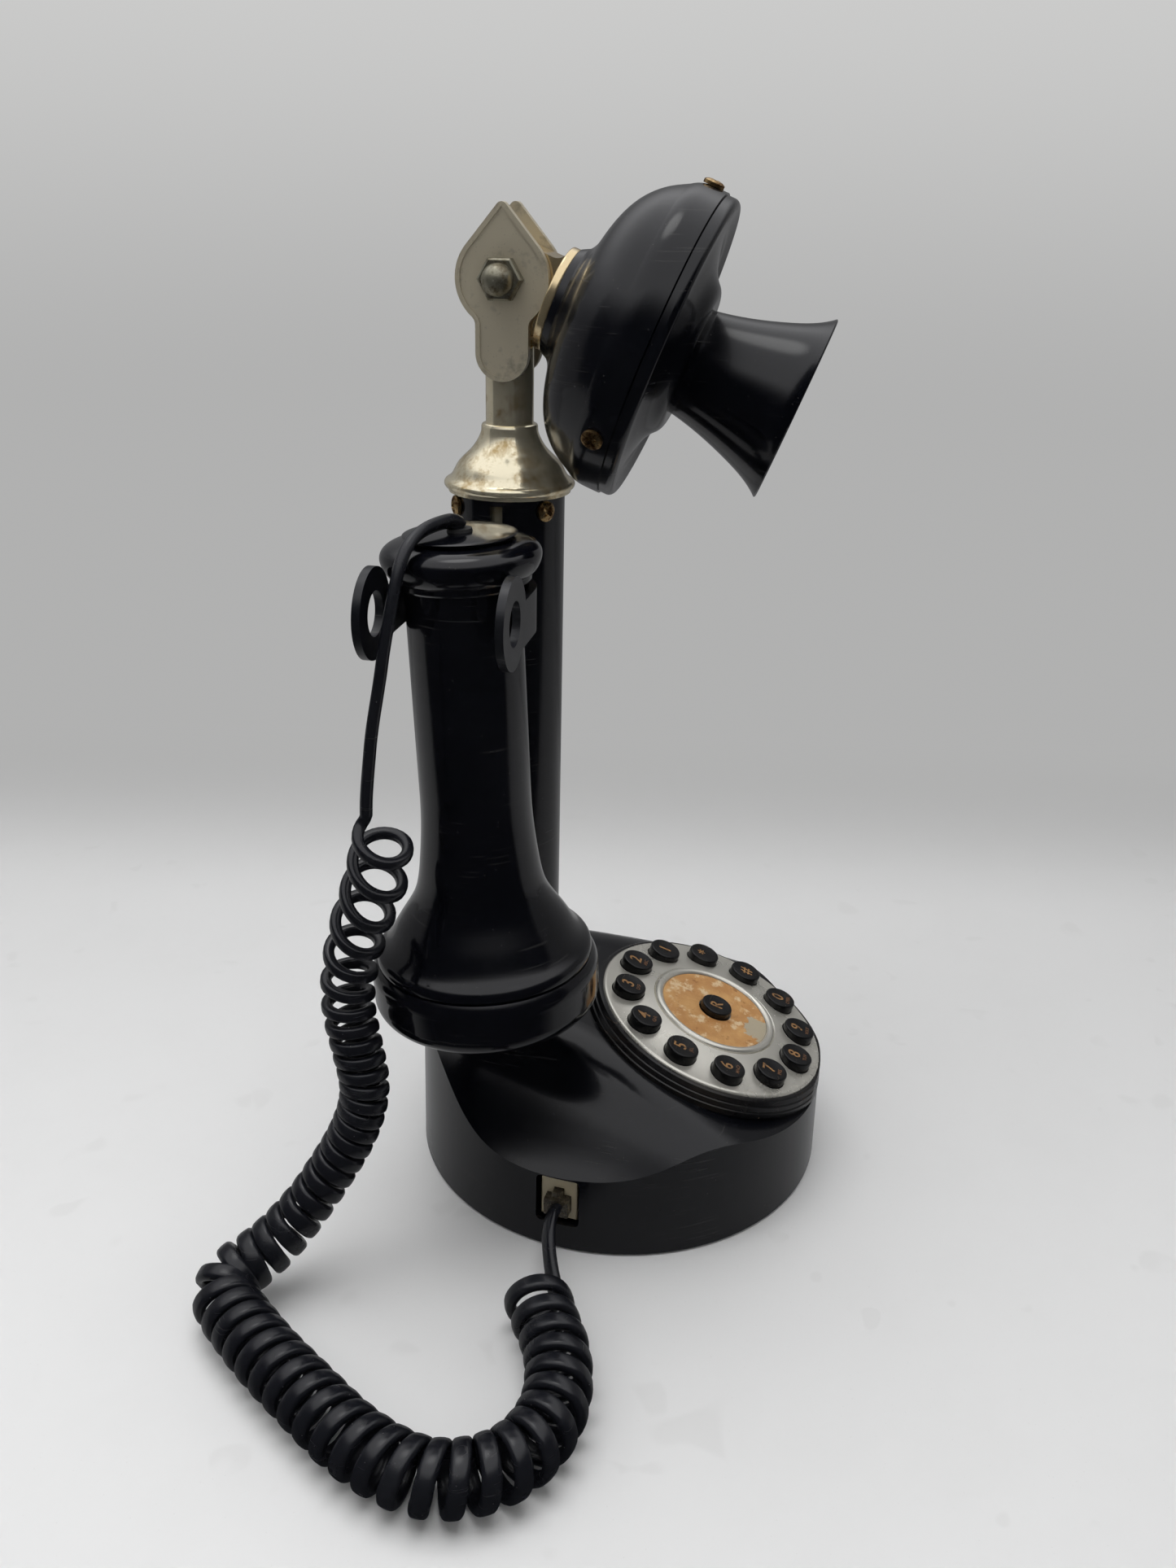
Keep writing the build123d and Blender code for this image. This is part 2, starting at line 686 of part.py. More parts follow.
with BuildPart() as column_tube:
    with BuildSketch(Plane.XY.offset(tube_bottom)):
        Circle(column_radius)
        Circle(column_inner, mode=Mode.SUBTRACT)
    extrude(amount=column_top - tube_bottom)
    # Slot for the hook's stem, on the receiver's side.
    with BuildSketch(Plane.YZ.offset(-column_radius - 2)):
        with Locations((0, (slot_top + slot_bottom) / 2)):
            Rectangle(slot_width, slot_top - slot_bottom)
    extrude(amount=column_radius, mode=Mode.SUBTRACT)
    # Blind holes for the pivot pin, drilled from the inside.
    with Locations(Plane(origin=pivot_centre, x_dir=(1, 0, 0), z_dir=(0, 1, 0))):
        Cylinder(pivot_radius, 2 * pin_half_length, mode=Mode.SUBTRACT)
    # Holes for the three screws that hold the collar.
    for screw_angle in column_screw_angles:
        turn = radians(screw_angle)
        outward = Vector(sin(turn), -cos(turn), 0)
        screw_origin = Vector(0, 0, column_top - column_screw_drop) + outward * column_radius
        with Locations(Plane(origin=screw_origin, z_dir=outward)):
            Cylinder(screw_radius + screw_clearance, 2 * column_wall + 2, mode=Mode.SUBTRACT)
write(column_tube.part, "column_tube")

neck_top = column_top + collar_height
with BuildPart() as column_collar:
    with BuildSketch(Plane.XZ):
        with BuildLine():
            Polyline(
                (stem_radius, neck_top),
                (stem_radius, column_top - spigot_length),
                (column_inner - 0.05, column_top - spigot_length),
                (column_inner - 0.05, column_top),
                (collar_radius - collar_step, column_top),
                (collar_radius - collar_step, column_top + 1.1),
                (collar_radius, column_top + 1.3),
            )
            ThreePointArc(
                (collar_radius, column_top + 1.3),
                (collar_radius + 0.35, column_top + 2.3),
                (collar_radius - 0.2, column_top + 3.3),
            )
            Spline(
                (collar_radius - 0.2, column_top + 3.3),
                (collar_neck_radius + 7.2, column_top + 7.4),
                (collar_neck_radius + 2.7, column_top + 12.2),
                (collar_neck_radius + 0.5, column_top + 15.8),
                (collar_neck_radius, neck_top - 0.8),
                tangents=((-1, 0.35), (0.04, 1)),
            )
            Polyline(
                (collar_neck_radius, neck_top - 0.8),
                (collar_neck_radius - 0.25, neck_top - 0.25),
                (collar_neck_radius - 0.7, neck_top),
                (stem_radius, neck_top),
            )
        make_face()
    revolve(axis=Axis.Z)
    for screw_angle in column_screw_angles:
        turn = radians(screw_angle)
        outward = Vector(sin(turn), -cos(turn), 0)
        screw_origin = Vector(0, 0, column_top - column_screw_drop) + outward * column_inner
        with Locations(Plane(origin=screw_origin, z_dir=outward)):
            Cylinder(screw_radius + screw_clearance, 9, mode=Mode.SUBTRACT)
write(column_collar.part, "column_collar")

with BuildPart() as column_screws:
    for screw_angle in column_screw_angles:
        turn = radians(screw_angle)
        outward = Vector(sin(turn), -cos(turn), 0)
        screw_origin = Vector(0, 0, column_top - column_screw_drop) + outward * column_radius
        screw_plane = Plane(origin=screw_origin, z_dir=outward)
        with BuildSketch(screw_plane.offset(-column_wall - 3.5)):
            Circle(screw_radius)
        extrude(amount=column_wall + 3.5)
        # The head's underside is faced a little below the tube's highest line, so it seats on it.
        with BuildSketch(screw_plane):
            Circle(pan_head_radius)
        extrude(amount=pan_head_height, taper=24)
write(column_screws.part, "column_screws")

# ---------------------------------------------------------------- stem and yoke
yoke_bottom = bolt_height - yoke_tongue
stem_top = yoke_bottom + stem_overlap
with BuildPart() as stem_tube:
    with BuildSketch(Plane.XY.offset(neck_top - stem_sink)):
        Circle(stem_radius)
    extrude(amount=stem_top - neck_top + stem_sink)
    with BuildSketch(Plane.XY.offset(neck_top - stem_sink)):
        Circle(stem_radius - stem_wall)
    extrude(amount=stem_top - neck_top + stem_sink - 3, mode=Mode.SUBTRACT)
    # Two flats that the yoke plates close onto.
    with BuildSketch(Plane.XY.offset(yoke_bottom)):
        with GridLocations(yoke_inner_gap + 10, 0, 2, 1):
            Rectangle(10, 2 * stem_radius + 2)
    extrude(amount=stem_overlap + 1, mode=Mode.SUBTRACT)
write(stem_tube.part, "stem_tube")

tangent_share = sqrt(1 - (yoke_head_radius / yoke_apex) ** 2)
tangent_y = yoke_head_radius * tangent_share
tangent_z = yoke_head_radius**2 / yoke_apex
tongue_half = yoke_tongue_width / 2
tongue_centre = -yoke_tongue + tongue_half
waist_z = -sqrt(yoke_head_radius**2 - tongue_half**2)

for side, plate_name in ((-1, "yoke_plate_near"), (1, "yoke_plate_far")):
    outward = Vector(side, 0, 0)
    inner_face = Plane(
        origin=bolt_centre + outward * (yoke_inner_gap / 2),
        x_dir=(0, side, 0),
        z_dir=outward,
    )
    # Teardrop head round the bolt, pointed above, with a round-ended tongue below.
    with BuildSketch() as yoke_outline:
        Circle(yoke_head_radius)
        with BuildLine():
            Polyline((-tangent_y, tangent_z), (0, yoke_apex), (tangent_y, tangent_z), close=True)
        make_face()
        with Locations((0, tongue_centre / 2)):
            Rectangle(yoke_tongue_width, -tongue_centre)
        with Locations((0, tongue_centre)):
            Circle(tongue_half)
        waist = yoke_outline.vertices().filter_by_position(Axis.Y, waist_z - 0.05, waist_z + 0.05)
        fillet(waist, 3.0)
        fillet(yoke_outline.vertices().sort_by(Axis.Y)[-1], 1.6)
    with BuildPart() as yoke_plate:
        with BuildSketch(inner_face):
            add(yoke_outline.sketch)
            Circle(bolt_radius + bolt_running_clearance, mode=Mode.SUBTRACT)
        extrude(amount=yoke_thickness)
        # The face is sunk a little inside a raised border.
        with BuildSketch(inner_face.offset(yoke_thickness)):
            offset(yoke_outline.sketch, amount=-yoke_border)
        extrude(amount=-yoke_relief, mode=Mode.SUBTRACT)
    write(yoke_plate.part, plate_name)

outer_face = yoke_inner_gap / 2 + yoke_thickness - yoke_relief
nut_circumradius = nut_across_flats / sqrt(3)

with BuildPart() as yoke_bolt:
    with BuildSketch(Plane(origin=bolt_centre - Vector(outer_face + nut_thickness, 0, 0), z_dir=(1, 0, 0))):
        Circle(bolt_radius)
    extrude(amount=2 * outer_face + nut_thickness)
    with BuildSketch(Plane(origin=bolt_centre + Vector(outer_face, 0, 0), x_dir=(0, 1, 0), z_dir=(1, 0, 0))):
        RegularPolygon(nut_circumradius, 6)
    extrude(amount=nut_thickness)
    fillet(yoke_bolt.faces().sort_by(Axis.X)[-1].edges(), 0.5)
write(yoke_bolt.part, "yoke_bolt")

with BuildPart() as acorn_nut:
    nut_face = Plane(origin=bolt_centre - Vector(outer_face, 0, 0), x_dir=(0, 1, 0), z_dir=(-1, 0, 0))
    with BuildSketch(nut_face):
        RegularPolygon(nut_circumradius, 6)
    extrude(amount=nut_thickness)
    chamfer(acorn_nut.faces().sort_by(Axis.X)[0].edges(), 0.5)
    dome_section = Plane(origin=nut_face.origin, x_dir=(0, 0, 1), z_dir=(0, -1, 0))
    with BuildSketch(dome_section):
        with BuildLine():
            Polyline((0, nut_thickness), (acorn_radius, nut_thickness))
            Line((acorn_radius, nut_thickness), (acorn_radius, nut_thickness + acorn_height - acorn_radius))
            RadiusArc(
                (acorn_radius, nut_thickness + acorn_height - acorn_radius),
                (0, nut_thickness + acorn_height),
                -acorn_radius,
            )
            Line((0, nut_thickness + acorn_height), (0, nut_thickness))
        make_face()
    revolve(axis=Axis(bolt_centre, (-1, 0, 0)))
    with BuildSketch(nut_face):
        Circle(bolt_radius)
    extrude(amount=nut_thickness, mode=Mode.SUBTRACT)
write(acorn_nut.part, "acorn_nut")

# ---------------------------------------------------------------- transmitter
lug_half_width = yoke_inner_gap / 2 - lug_side_gap
flange_front = knuckle_reach + knuckle_flange_thickness
lug_wide = lug_radius + lug_flare
flare_start = knuckle_reach - lug_flare_length

with BuildPart() as transmitter_knuckle:
    with BuildSketch(mouth_plane(knuckle_reach)):
        Circle(knuckle_flange_radius)
    extrude(amount=knuckle_flange_thickness)
    fillet(transmitter_knuckle.edges(), 0.6)
    # A round-ended lug between the plates, flaring into the flange that carries the shell.
    with BuildSketch(Plane(origin=bolt_centre - Vector(lug_half_width, 0, 0), x_dir=mouth_up, z_dir=(1, 0, 0))):
        Circle(lug_radius)
        with BuildLine():
            Line((lug_radius, 0), (-lug_radius, 0))
            Line((-lug_radius, 0), (-lug_radius, flare_start))
            RadiusArc((-lug_radius, flare_start), (-lug_wide, knuckle_reach), -1.2 * lug_flare_length)
            Line((-lug_wide, knuckle_reach), (-lug_wide, knuckle_reach + 1))
            Line((-lug_wide, knuckle_reach + 1), (lug_wide, knuckle_reach + 1))
            Line((lug_wide, knuckle_reach + 1), (lug_wide, knuckle_reach))
            RadiusArc((lug_wide, knuckle_reach), (lug_radius, flare_start), -1.2 * lug_flare_length)
            Line((lug_radius, flare_start), (lug_radius, 0))
        make_face()
    extrude(amount=2 * lug_half_width)
    with BuildSketch(Plane(origin=bolt_centre - Vector(lug_half_width + 1, 0, 0), z_dir=(1, 0, 0))):
        Circle(bolt_radius + bolt_running_clearance)
    extrude(amount=2 * lug_half_width + 2, mode=Mode.SUBTRACT)
write(transmitter_knuckle.part, "transmitter_knuckle")

shell_back = flange_front
rim_screw_planes = []
for screw_angle in rim_screw_angles:
    turn = radians(screw_angle)
    outward = mouth_up * cos(turn) + Vector(1, 0, 0) * sin(turn)
    screw_origin = bolt_centre + mouth_direction * (seam_reach - rim_screw_setback) + outward * shell_radius
    rim_screw_planes.append(Plane(origin=screw_origin, z_dir=outward))

with BuildPart() as rear_shell:
    with BuildSketch(mouth_section):
        with BuildLine():
            # Outside: a short neck, the dome, a soft step and the straight band up to the seam.
            Line((0, shell_back), (knuckle_flange_radius + 0.3, shell_back))
            Line((knuckle_flange_radius + 0.3, shell_back), (knuckle_flange_radius + 1.4, shell_back + 2.2))
            Spline(
                (knuckle_flange_radius + 1.4, shell_back + 2.2),
                (0.56 * shell_radius, shell_back + 5.9),
                (0.755 * shell_radius, shell_back + 9.6),
                (0.915 * shell_radius, shell_back + 17.0),
                (shell_radius - 1.6, shell_back + 20.9),
                tangents=((1, 1.1), (0.55, 1)),
            )
            Spline(
                (shell_radius - 1.6, shell_back + 20.9),
                (shell_radius - 0.2, shell_back + 24.2),
                (shell_radius, seam_reach - 3.5),
                tangents=((0.7, 1), (0.02, 1)),
            )
            Line((shell_radius, seam_reach - 3.5), (shell_radius, seam_reach))
            Line((shell_radius, seam_reach), (shell_radius - shell_wall, seam_reach))
            # Inside, a wall's thickness in.
            Spline(
                (shell_radius - shell_wall, seam_reach),
                (shell_radius - shell_wall - 0.3, shell_back + 22.0),
                (0.85 * (shell_radius - shell_wall), shell_back + 15.5),
                (0.60 * (shell_radius - shell_wall), shell_back + 9.0),
                (knuckle_flange_radius, shell_back + shell_wall + 2.4),
                tangents=((0, -1), (-1, -0.6)),
            )
            Line((knuckle_flange_radius, shell_back + shell_wall + 2.4), (0, shell_back + shell_wall + 2.4))
            Line((0, shell_back + shell_wall + 2.4), (0, shell_back))
        make_face()
    revolve(axis=mouth_axis)
    for screw_plane in rim_screw_planes:
        with Locations(screw_plane):
            Cylinder(screw_radius + screw_clearance, 2 * shell_wall + 2, mode=Mode.SUBTRACT)
write(rear_shell.part, "rear_shell")

bezel_back = seam_reach
bezel_front = seam_reach + bezel_ring_depth
capsule_level = bezel_back + 2.4
lip_radius = shell_radius - shell_wall - 0.5
with BuildPart() as front_bezel:
    with BuildSketch(mouth_section):
        with BuildLine():
            # The seam's groove, the rolled rim, the shallow dished face and the boss under the horn.
            Polyline(
                (0, capsule_level),
                (mic_radius + 1, capsule_level),
                (lip_radius - lip_thickness, bezel_back + 0.8),
                (lip_radius - lip_thickness, bezel_back - lip_depth),
                (lip_radius, bezel_back - lip_depth),
                (lip_radius, bezel_back),
                (bezel_ring_radius - 0.2, bezel_back),
                (bezel_ring_radius, bezel_back + seam_groove),
                (bezel_ring_radius, bezel_front - 1.8),
            )
            ThreePointArc(
                (bezel_ring_radius, bezel_front - 1.8),
                (bezel_ring_radius - 0.8, bezel_front - 0.3),
                (bezel_ring_radius - 2.2, bezel_front),
            )
            Spline(
                (bezel_ring_radius - 2.2, bezel_front),
                (bezel_ring_radius - 6.0, bezel_front - 0.9),
                (face_boss_radius + 8.5, bezel_front + 0.3),
                (face_boss_radius + 3.0, bezel_front + 3.2),
                tangents=((-1, -0.15), (-1, 1)),
            )
            ThreePointArc(
                (face_boss_radius + 3.0, bezel_front + 3.2),
                (face_boss_radius + 1.0, bezel_front + 4.6),
                (face_boss_radius - 1.5, bezel_front + face_boss_height),
            )
            Polyline(
                (face_boss_radius - 1.5, bezel_front + face_boss_height),
                (horn_base_radius - horn_wall, bezel_front + face_boss_height),
                (horn_base_radius - horn_wall, bezel_front + face_boss_height - 2.2),
                (0, bezel_front + face_boss_height - 2.2),
                (0, capsule_level),
            )
        make_face()
    revolve(axis=mouth_axis)
    # Voice holes at the bottom of the horn.
    with BuildSketch(mouth_plane(bezel_front + face_boss_height)):
        Circle(1.3)
        with PolarLocations(5.0, 6):
            Circle(1.3)
    extrude(amount=capsule_level - bezel_front - face_boss_height, mode=Mode.SUBTRACT)
    for screw_plane in rim_screw_planes:
        with Locations(screw_plane):
            Cylinder(screw_radius + screw_clearance, 3 * shell_wall + 4, mode=Mode.SUBTRACT)
write(front_bezel.part, "front_bezel")

horn_back = bezel_front + face_boss_height
horn_front = horn_back + horn_length
with BuildPart() as mouthpiece_horn:
    with BuildSketch(mouth_section):
        with BuildLine():
            Spline(
                (horn_base_radius, horn_back),
                (horn_mid_radius, horn_back + 0.635 * horn_length),
                (horn_mouth_radius, horn_front),
                tangents=((0.16, 1), (0.85, 1)),
            )
            ThreePointArc(
                (horn_mouth_radius, horn_front),
                (horn_mouth_radius - 0.6, horn_front + 0.45),
                (horn_mouth_radius - 1.3, horn_front),
            )
            Spline(
                (horn_mouth_radius - 1.3, horn_front),
                (horn_mid_radius - horn_wall + 0.2, horn_back + 0.635 * horn_length),
                (horn_base_radius - horn_wall, horn_back),
                tangents=((-0.85, -1), (-0.16, -1)),
            )
            Line((horn_base_radius - horn_wall, horn_back), (horn_base_radius, horn_back))
        make_face()
    revolve(axis=mouth_axis)
write(mouthpiece_horn.part, "mouthpiece_horn")

with BuildPart() as mic_capsule:
    with BuildSketch(mouth_plane(capsule_level)):
        Circle(mic_radius)
    extrude(amount=-mic_depth)
    with BuildSketch(mouth_plane(capsule_level - mic_depth)):
        Circle(mic_radius - 3)
    extrude(amount=-1.5)
write(mic_capsule.part, "mic_capsule")

with BuildPart() as rim_screws:
    for screw_plane in rim_screw_planes:
        with BuildSketch(screw_plane.offset(-shell_wall - 0.5 - lip_thickness)):
            Circle(screw_radius)
        extrude(amount=shell_wall + 0.5 + lip_thickness)
        with BuildSketch(screw_plane):
            Circle(pan_head_radius)
        extrude(amount=pan_head_height, taper=24)
write(rim_screws.part, "rim_screws")

# ---------------------------------------------------------------- receiver
flare_top = -neck_length
flare_bottom = flare_top - flare_length
ear_top = flare_bottom
ear_bottom = ear_top - ear_cap_height
cap_bottom = collar_seat + rest_collar_height
cap_top = cap_bottom + cap_height

with BuildPart() as receiver_body:
    with BuildSketch(receiver_section):
        with BuildLine():
            Line((0, collar_seat), (neck_radius, collar_seat))
            Line((neck_radius, collar_seat), (neck_radius, flare_top + 8))
            Spline(
                (neck_radius, flare_top + 8),
                (neck_radius + 1.5, flare_top - 12.5),
                (neck_radius + 3.6, flare_top - 22),
                (neck_radius + 9.6, flare_top - 32),
                (flare_radius - 1.2, flare_bottom + 3.2),
                tangents=((0, -1), (1, -0.72)),
            )
            ThreePointArc(
                (flare_radius - 1.2, flare_bottom + 3.2),
                (flare_radius - 0.2, flare_bottom + 1.9),
                (flare_radius, flare_bottom),
            )
            # The skirt that the ear cap closes over.
            Polyline(
                (flare_radius, flare_bottom),
                (flare_radius - 2.2, flare_bottom),
                (flare_radius - 2.2, flare_bottom - 5.0),
                (flare_radius - 2.2 - receiver_wall, flare_bottom - 5.0),
                (flare_radius - 2.2 - receiver_wall, flare_bottom),
                (neck_radius, flare_top - 27),
                (neck_radius - receiver_wall, flare_top - 10),
                (neck_radius - receiver_wall, -8),
                (0, -8),
                (0, collar_seat),
            )
        make_face()
    revolve(axis=receiver_axis)
write(receiver_body.part, "receiver_body")

with BuildPart() as receiver_cap:
    with BuildSketch(receiver_section):
        with BuildLine():
            Line((0, collar_seat), (rest_collar_radius - 0.6, collar_seat))
            Line((rest_collar_radius - 0.6, collar_seat), (rest_collar_radius, collar_seat + 0.6))
            Line((rest_collar_radius, collar_seat + 0.6), (rest_collar_radius, cap_bottom))
            Spline(
                (rest_collar_radius, cap_bottom),
                (cap_radius - 1.7, cap_bottom + 1.2),
                (cap_radius - 0.4, cap_bottom + 3.4),
                (cap_radius, cap_bottom + 5.8),
                (cap_radius - 1.6, cap_bottom + 8.2),
                (cap_radius * 0.62, cap_top - 1.6),
                (0, cap_top),
                tangents=((1, 0.9), (-1, 0)),
            )
            Line((0, cap_top), (0, collar_seat))
        make_face()
    revolve(axis=receiver_axis)
write(receiver_cap.part, "receiver_cap")

with BuildPart() as ear_cap:
    with BuildSketch(receiver_section):
        with BuildLine():
            Polyline(
                (flare_radius - 2.1, ear_top),
                (flare_radius - 1.0, ear_top),
                (flare_radius - 0.8, ear_top - 0.5),
                (flare_radius + 0.2, ear_top - 0.7),
            )
            ThreePointArc(
                (flare_radius + 0.2, ear_top - 0.7),
                (ear_cap_radius - 0.4, ear_top - 2.6),
                (ear_cap_radius, ear_top - 5.4),
            )
            Line((ear_cap_radius, ear_top - 5.4), (ear_cap_radius, ear_bottom + 5.5))
            ThreePointArc(
                (ear_cap_radius, ear_bottom + 5.5),
                (ear_cap_radius - 1.7, ear_bottom + 1.6),
                (ear_cap_radius - 5.5, ear_bottom),
            )
            # The dish for the ear, then the inside of the cap.
            Spline(
                (ear_cap_radius - 5.5, ear_bottom),
                (0.5 * ear_dish_radius, ear_bottom + 0.82 * ear_dish_depth),
                (0, ear_bottom + ear_dish_depth),
                tangents=((-1, 0.35), (-1, 0)),
            )
            Polyline(
                (0, ear_bottom + ear_dish_depth),
                (0, ear_bottom + ear_dish_depth + ear_cap_floor),
                (flare_radius - 2.1, ear_bottom + ear_dish_depth + ear_cap_floor),
                (flare_radius - 2.1, ear_top),
            )
        make_face()
    revolve(axis=receiver_axis)
    with BuildSketch(receiver_plane(ear_bottom)):
        Circle(ear_hole_radius)
        with PolarLocations(ear_hole_circle, 6):
            Circle(ear_hole_radius)
    extrude(amount=ear_dish_depth + ear_cap_floor + 1, mode=Mode.SUBTRACT)
write(ear_cap.part, "ear_cap")

capsule_seat = ear_bottom + ear_dish_depth + ear_cap_floor
with BuildPart() as receiver_capsule:
    with BuildSketch(receiver_plane(capsule_seat)):
        Circle(capsule_radius)
    extrude(amount=capsule_height * 0.6)
    with BuildSketch(receiver_plane(capsule_seat + capsule_height * 0.6)):
        Circle(capsule_radius * 0.6)
    extrude(amount=capsule_height * 0.4)
write(receiver_capsule.part, "receiver_capsule")

with BuildPart() as cord_grommet:
    with BuildSketch(receiver_plane(cap_top - 0.8)):
        Circle(grommet_radius)
    extrude(amount=grommet_height, taper=12)
    with BuildSketch(receiver_plane(0)):
        Circle(cap_radius)
    extrude(amount=cap_top, mode=Mode.SUBTRACT)
write(cord_grommet.part, "cord_grommet")

# ---------------------------------------------------------------- hook
strap_outer = strap_inner + hook_strap_thickness
ring_x = receiver_x - ring_centre_reach
ring_height = hook_height + ring_rise
stem_start = receiver_x + strap_inner + hook_strap_thickness / 2

with BuildPart() as hook_fork:
    with BuildSketch(Plane.XY.offset(hook_bottom)):
        # A strap bent round behind the receiver's neck.
        with Locations((receiver_x, 0)):
            Circle(strap_outer)
        with Locations(((receiver_x + ring_x) / 2, 0)):
            Rectangle(receiver_x - ring_x, 2 * strap_outer)
        with Locations((receiver_x, 0)):
            Circle(strap_inner, mode=Mode.SUBTRACT)
        with Locations(((receiver_x + ring_x) / 2, 0)):
            Rectangle(receiver_x - ring_x, 2 * strap_inner, mode=Mode.SUBTRACT)
    extrude(amount=hook_strap_height)
    # A ring at the end of each arm.
    for arm_side in (-1, 1):
        ring_face = Plane(
            origin=(ring_x, arm_side * strap_inner, ring_height),
            x_dir=(-arm_side, 0, 0),
            z_dir=(0, arm_side, 0),
        )
        with BuildSketch(ring_face):
            Circle(ring_radius)
        extrude(amount=hook_strap_thickness)
        with BuildSketch(ring_face.offset(-1)):
            Circle(ring_hole_radius)
        extrude(amount=hook_strap_thickness + 2, mode=Mode.SUBTRACT)
    # The stem through the column's slot, the hub on the pivot pin and the tail under the switch.
    with BuildSketch(Plane.XZ.offset(-hook_stem_thickness / 2)):
        with Locations(((stem_start - pivot_offset) / 2, hook_height)):
            Rectangle(-stem_start - pivot_offset, hook_stem_height)
        with Locations((-pivot_offset + tail_reach / 2, hook_height - hook_stem_height / 2 + tail_height / 2)):
            Rectangle(tail_reach, tail_height)
    extrude(amount=hook_stem_thickness)
    with BuildSketch(Plane(origin=pivot_centre - Vector(0, hub_width / 2, 0), z_dir=(0, 1, 0))):
        Circle(hub_radius)
    extrude(amount=hub_width)
    with BuildSketch(Plane(origin=pivot_centre - Vector(0, hub_width, 0), z_dir=(0, 1, 0))):
        Circle(pivot_radius + pivot_running_clearance)
    extrude(amount=2 * hub_width, mode=Mode.SUBTRACT)
write(hook_fork.part, "hook_fork")

with BuildPart() as pivot_pin:
    with BuildSketch(Plane(origin=pivot_centre - Vector(0, pin_half_length, 0), z_dir=(0, 1, 0))):
        Circle(pivot_radius)
    extrude(amount=2 * pin_half_length)
write(pivot_pin.part, "pivot_pin")

spring_pitch = 2.4 * spring_wire_radius
spring_start = hub_width / 2 + 0.8
with BuildPart() as hook_spring:
    with BuildLine():
        spring_path = Helix(
            spring_pitch,
            spring_pitch * spring_turns,
            pivot_radius + spring_fit + spring_wire_radius,
            center=(pivot_centre.X, spring_start, pivot_centre.Z),
            direction=(0, 1, 0),
        )
    with BuildSketch(Plane(origin=spring_path @ 0, z_dir=spring_path % 0)):
        Circle(spring_wire_radius)
    sweep()
write(hook_spring.part, "hook_spring")

tail_top = hook_height - hook_stem_height / 2 + tail_height
plunger_bottom = tail_top + plunger_gap
switch_bottom = plunger_bottom + 1.6
with BuildPart() as hook_switch:
    with BuildSketch(Plane.XY.offset(switch_bottom)):
        with Locations((column_inner / 2 + 1.2, 0)):
            Rectangle(column_inner - 2.4, switch_width)
        Circle(column_inner, mode=Mode.INTERSECT)
    extrude(amount=switch_height)
    with BuildSketch(Plane.XY.offset(plunger_bottom)):
        with Locations((tail_reach - pivot_offset - 0.6, 0)):
            Rectangle(1.6, 2.0)
    extrude(amount=2.0)
write(hook_switch.part, "hook_switch")

# ---------------------------------------------------------------- curly cord
def corner_radii(points):
    """The radius at each corner of a route: as large as the two runs beside it allow."""
    radii = []
    for before, corner, after in zip(points, points[1:], points[2:]):
        run_in = Vector(*corner) - Vector(*before)
        run_out = Vector(*after) - Vector(*corner)
        half_turn = radians(run_in.get_angle(run_out)) / 2
        radii.append(0.45 * min(run_in.length, run_out.length) / tan(half_turn))
    return radii


def cord_tube(points, diameter, name):
    """A round tube along straight runs joined by tangent arcs, written as one piece."""
    radii = corner_radii(points)
    with BuildPart() as tube:
        with BuildLine():
            path = FilletPolyline(*points, radius=radii)
        with BuildSketch(Plane(origin=path @ 0, z_dir=path % 0)):
            Circle(diameter / 2)
        sweep()
    expected = pi * diameter**2 / 4 * path.length
    print(name, "length", round(path.length, 1), "volume / section x length",
          round(tube.part.volume / expected, 4), "radii", [round(r, 1) for r in radii])
    write(tube.part, name)


def between(start, end, share):
    """The point at a share of the way along a run."""
    return tuple(a + (b - a) * share for a, b in zip(start, end))


coil_floor = coil_diameter / 2 + floor_gap
grommet_top = receiver_plane(cap_top - 0.8 + grommet_height).origin
plug_end = skirt_plane(jack_angle, jack_centre_height + socket_drop, jack_reach + plug_proud).origin
plug_out = skirt_plane(jack_angle, jack_centre_height + socket_drop, jack_reach + plug_proud + 7).origin

coil_start = (receiver_x - coil_offset, 16.2, hook_height - 52.0)
coil_second = (receiver_x - coil_offset + 0.5, 19.6, hook_height - 72.0)
coil_before_end = (receiver_x - 68.0, -47.0, coil_floor)
coil_end = (receiver_x - 48.5, -37.0, coil_floor)

# From the receiver's cap over its edge and down inside the hook's far ring to the coil.
lead_points = [
    tuple(grommet_top),
    tuple(grommet_top + receiver_up * 6.5),
    (receiver_x - 14.0, 5.6, hook_height + 26.0),
    (receiver_x - 25.5, 9.4, hook_height + 16.0),
    (receiver_x - 32.0, 11.0, hook_height),
    (receiver_x - 32.5, 13.6, hook_height - 18.0),
    between(coil_start, coil_second, -0.8),
    coil_start,
]
# The hanging stretch of the coil, as far as the cut between the part that the receiver carries
# and the part that lies on the table.
coil_bend_upper = (receiver_x - 32.0, 25.4, 70.0)
coil_bend_lower = (receiver_x - 34.2, 26.4, 47.0)
coil_cut = between(coil_bend_upper, coil_bend_lower, 0.45)
coil_hanging_points = [
    coil_start,
    coil_second,
    (receiver_x - 29.5, 24.6, 107.0),
    (receiver_x - 30.6, 26.6, 89.0),
    coil_bend_upper,
    coil_cut,
]
coil_lying_points = [
    coil_cut,
    coil_bend_lower,
    (receiver_x - 39.0, 34.5, 26.0),
    (receiver_x - 48.5, 47.5, 12.0),
    (receiver_x - 62.0, 55.5, coil_floor),
    (receiver_x - 73.5, 55.5, coil_floor),
    (receiver_x - 82.0, 41.5, coil_floor),
    (receiver_x - 94.5, 22.0, coil_floor),
    (receiver_x - 107.5, 2.5, coil_floor),
    (receiver_x - 113.5, -20.0, coil_floor),
    (receiver_x - 105.5, -38.5, coil_floor),
    (receiver_x - 88.0, -47.8, coil_floor),
    coil_before_end,
    coil_end,
]
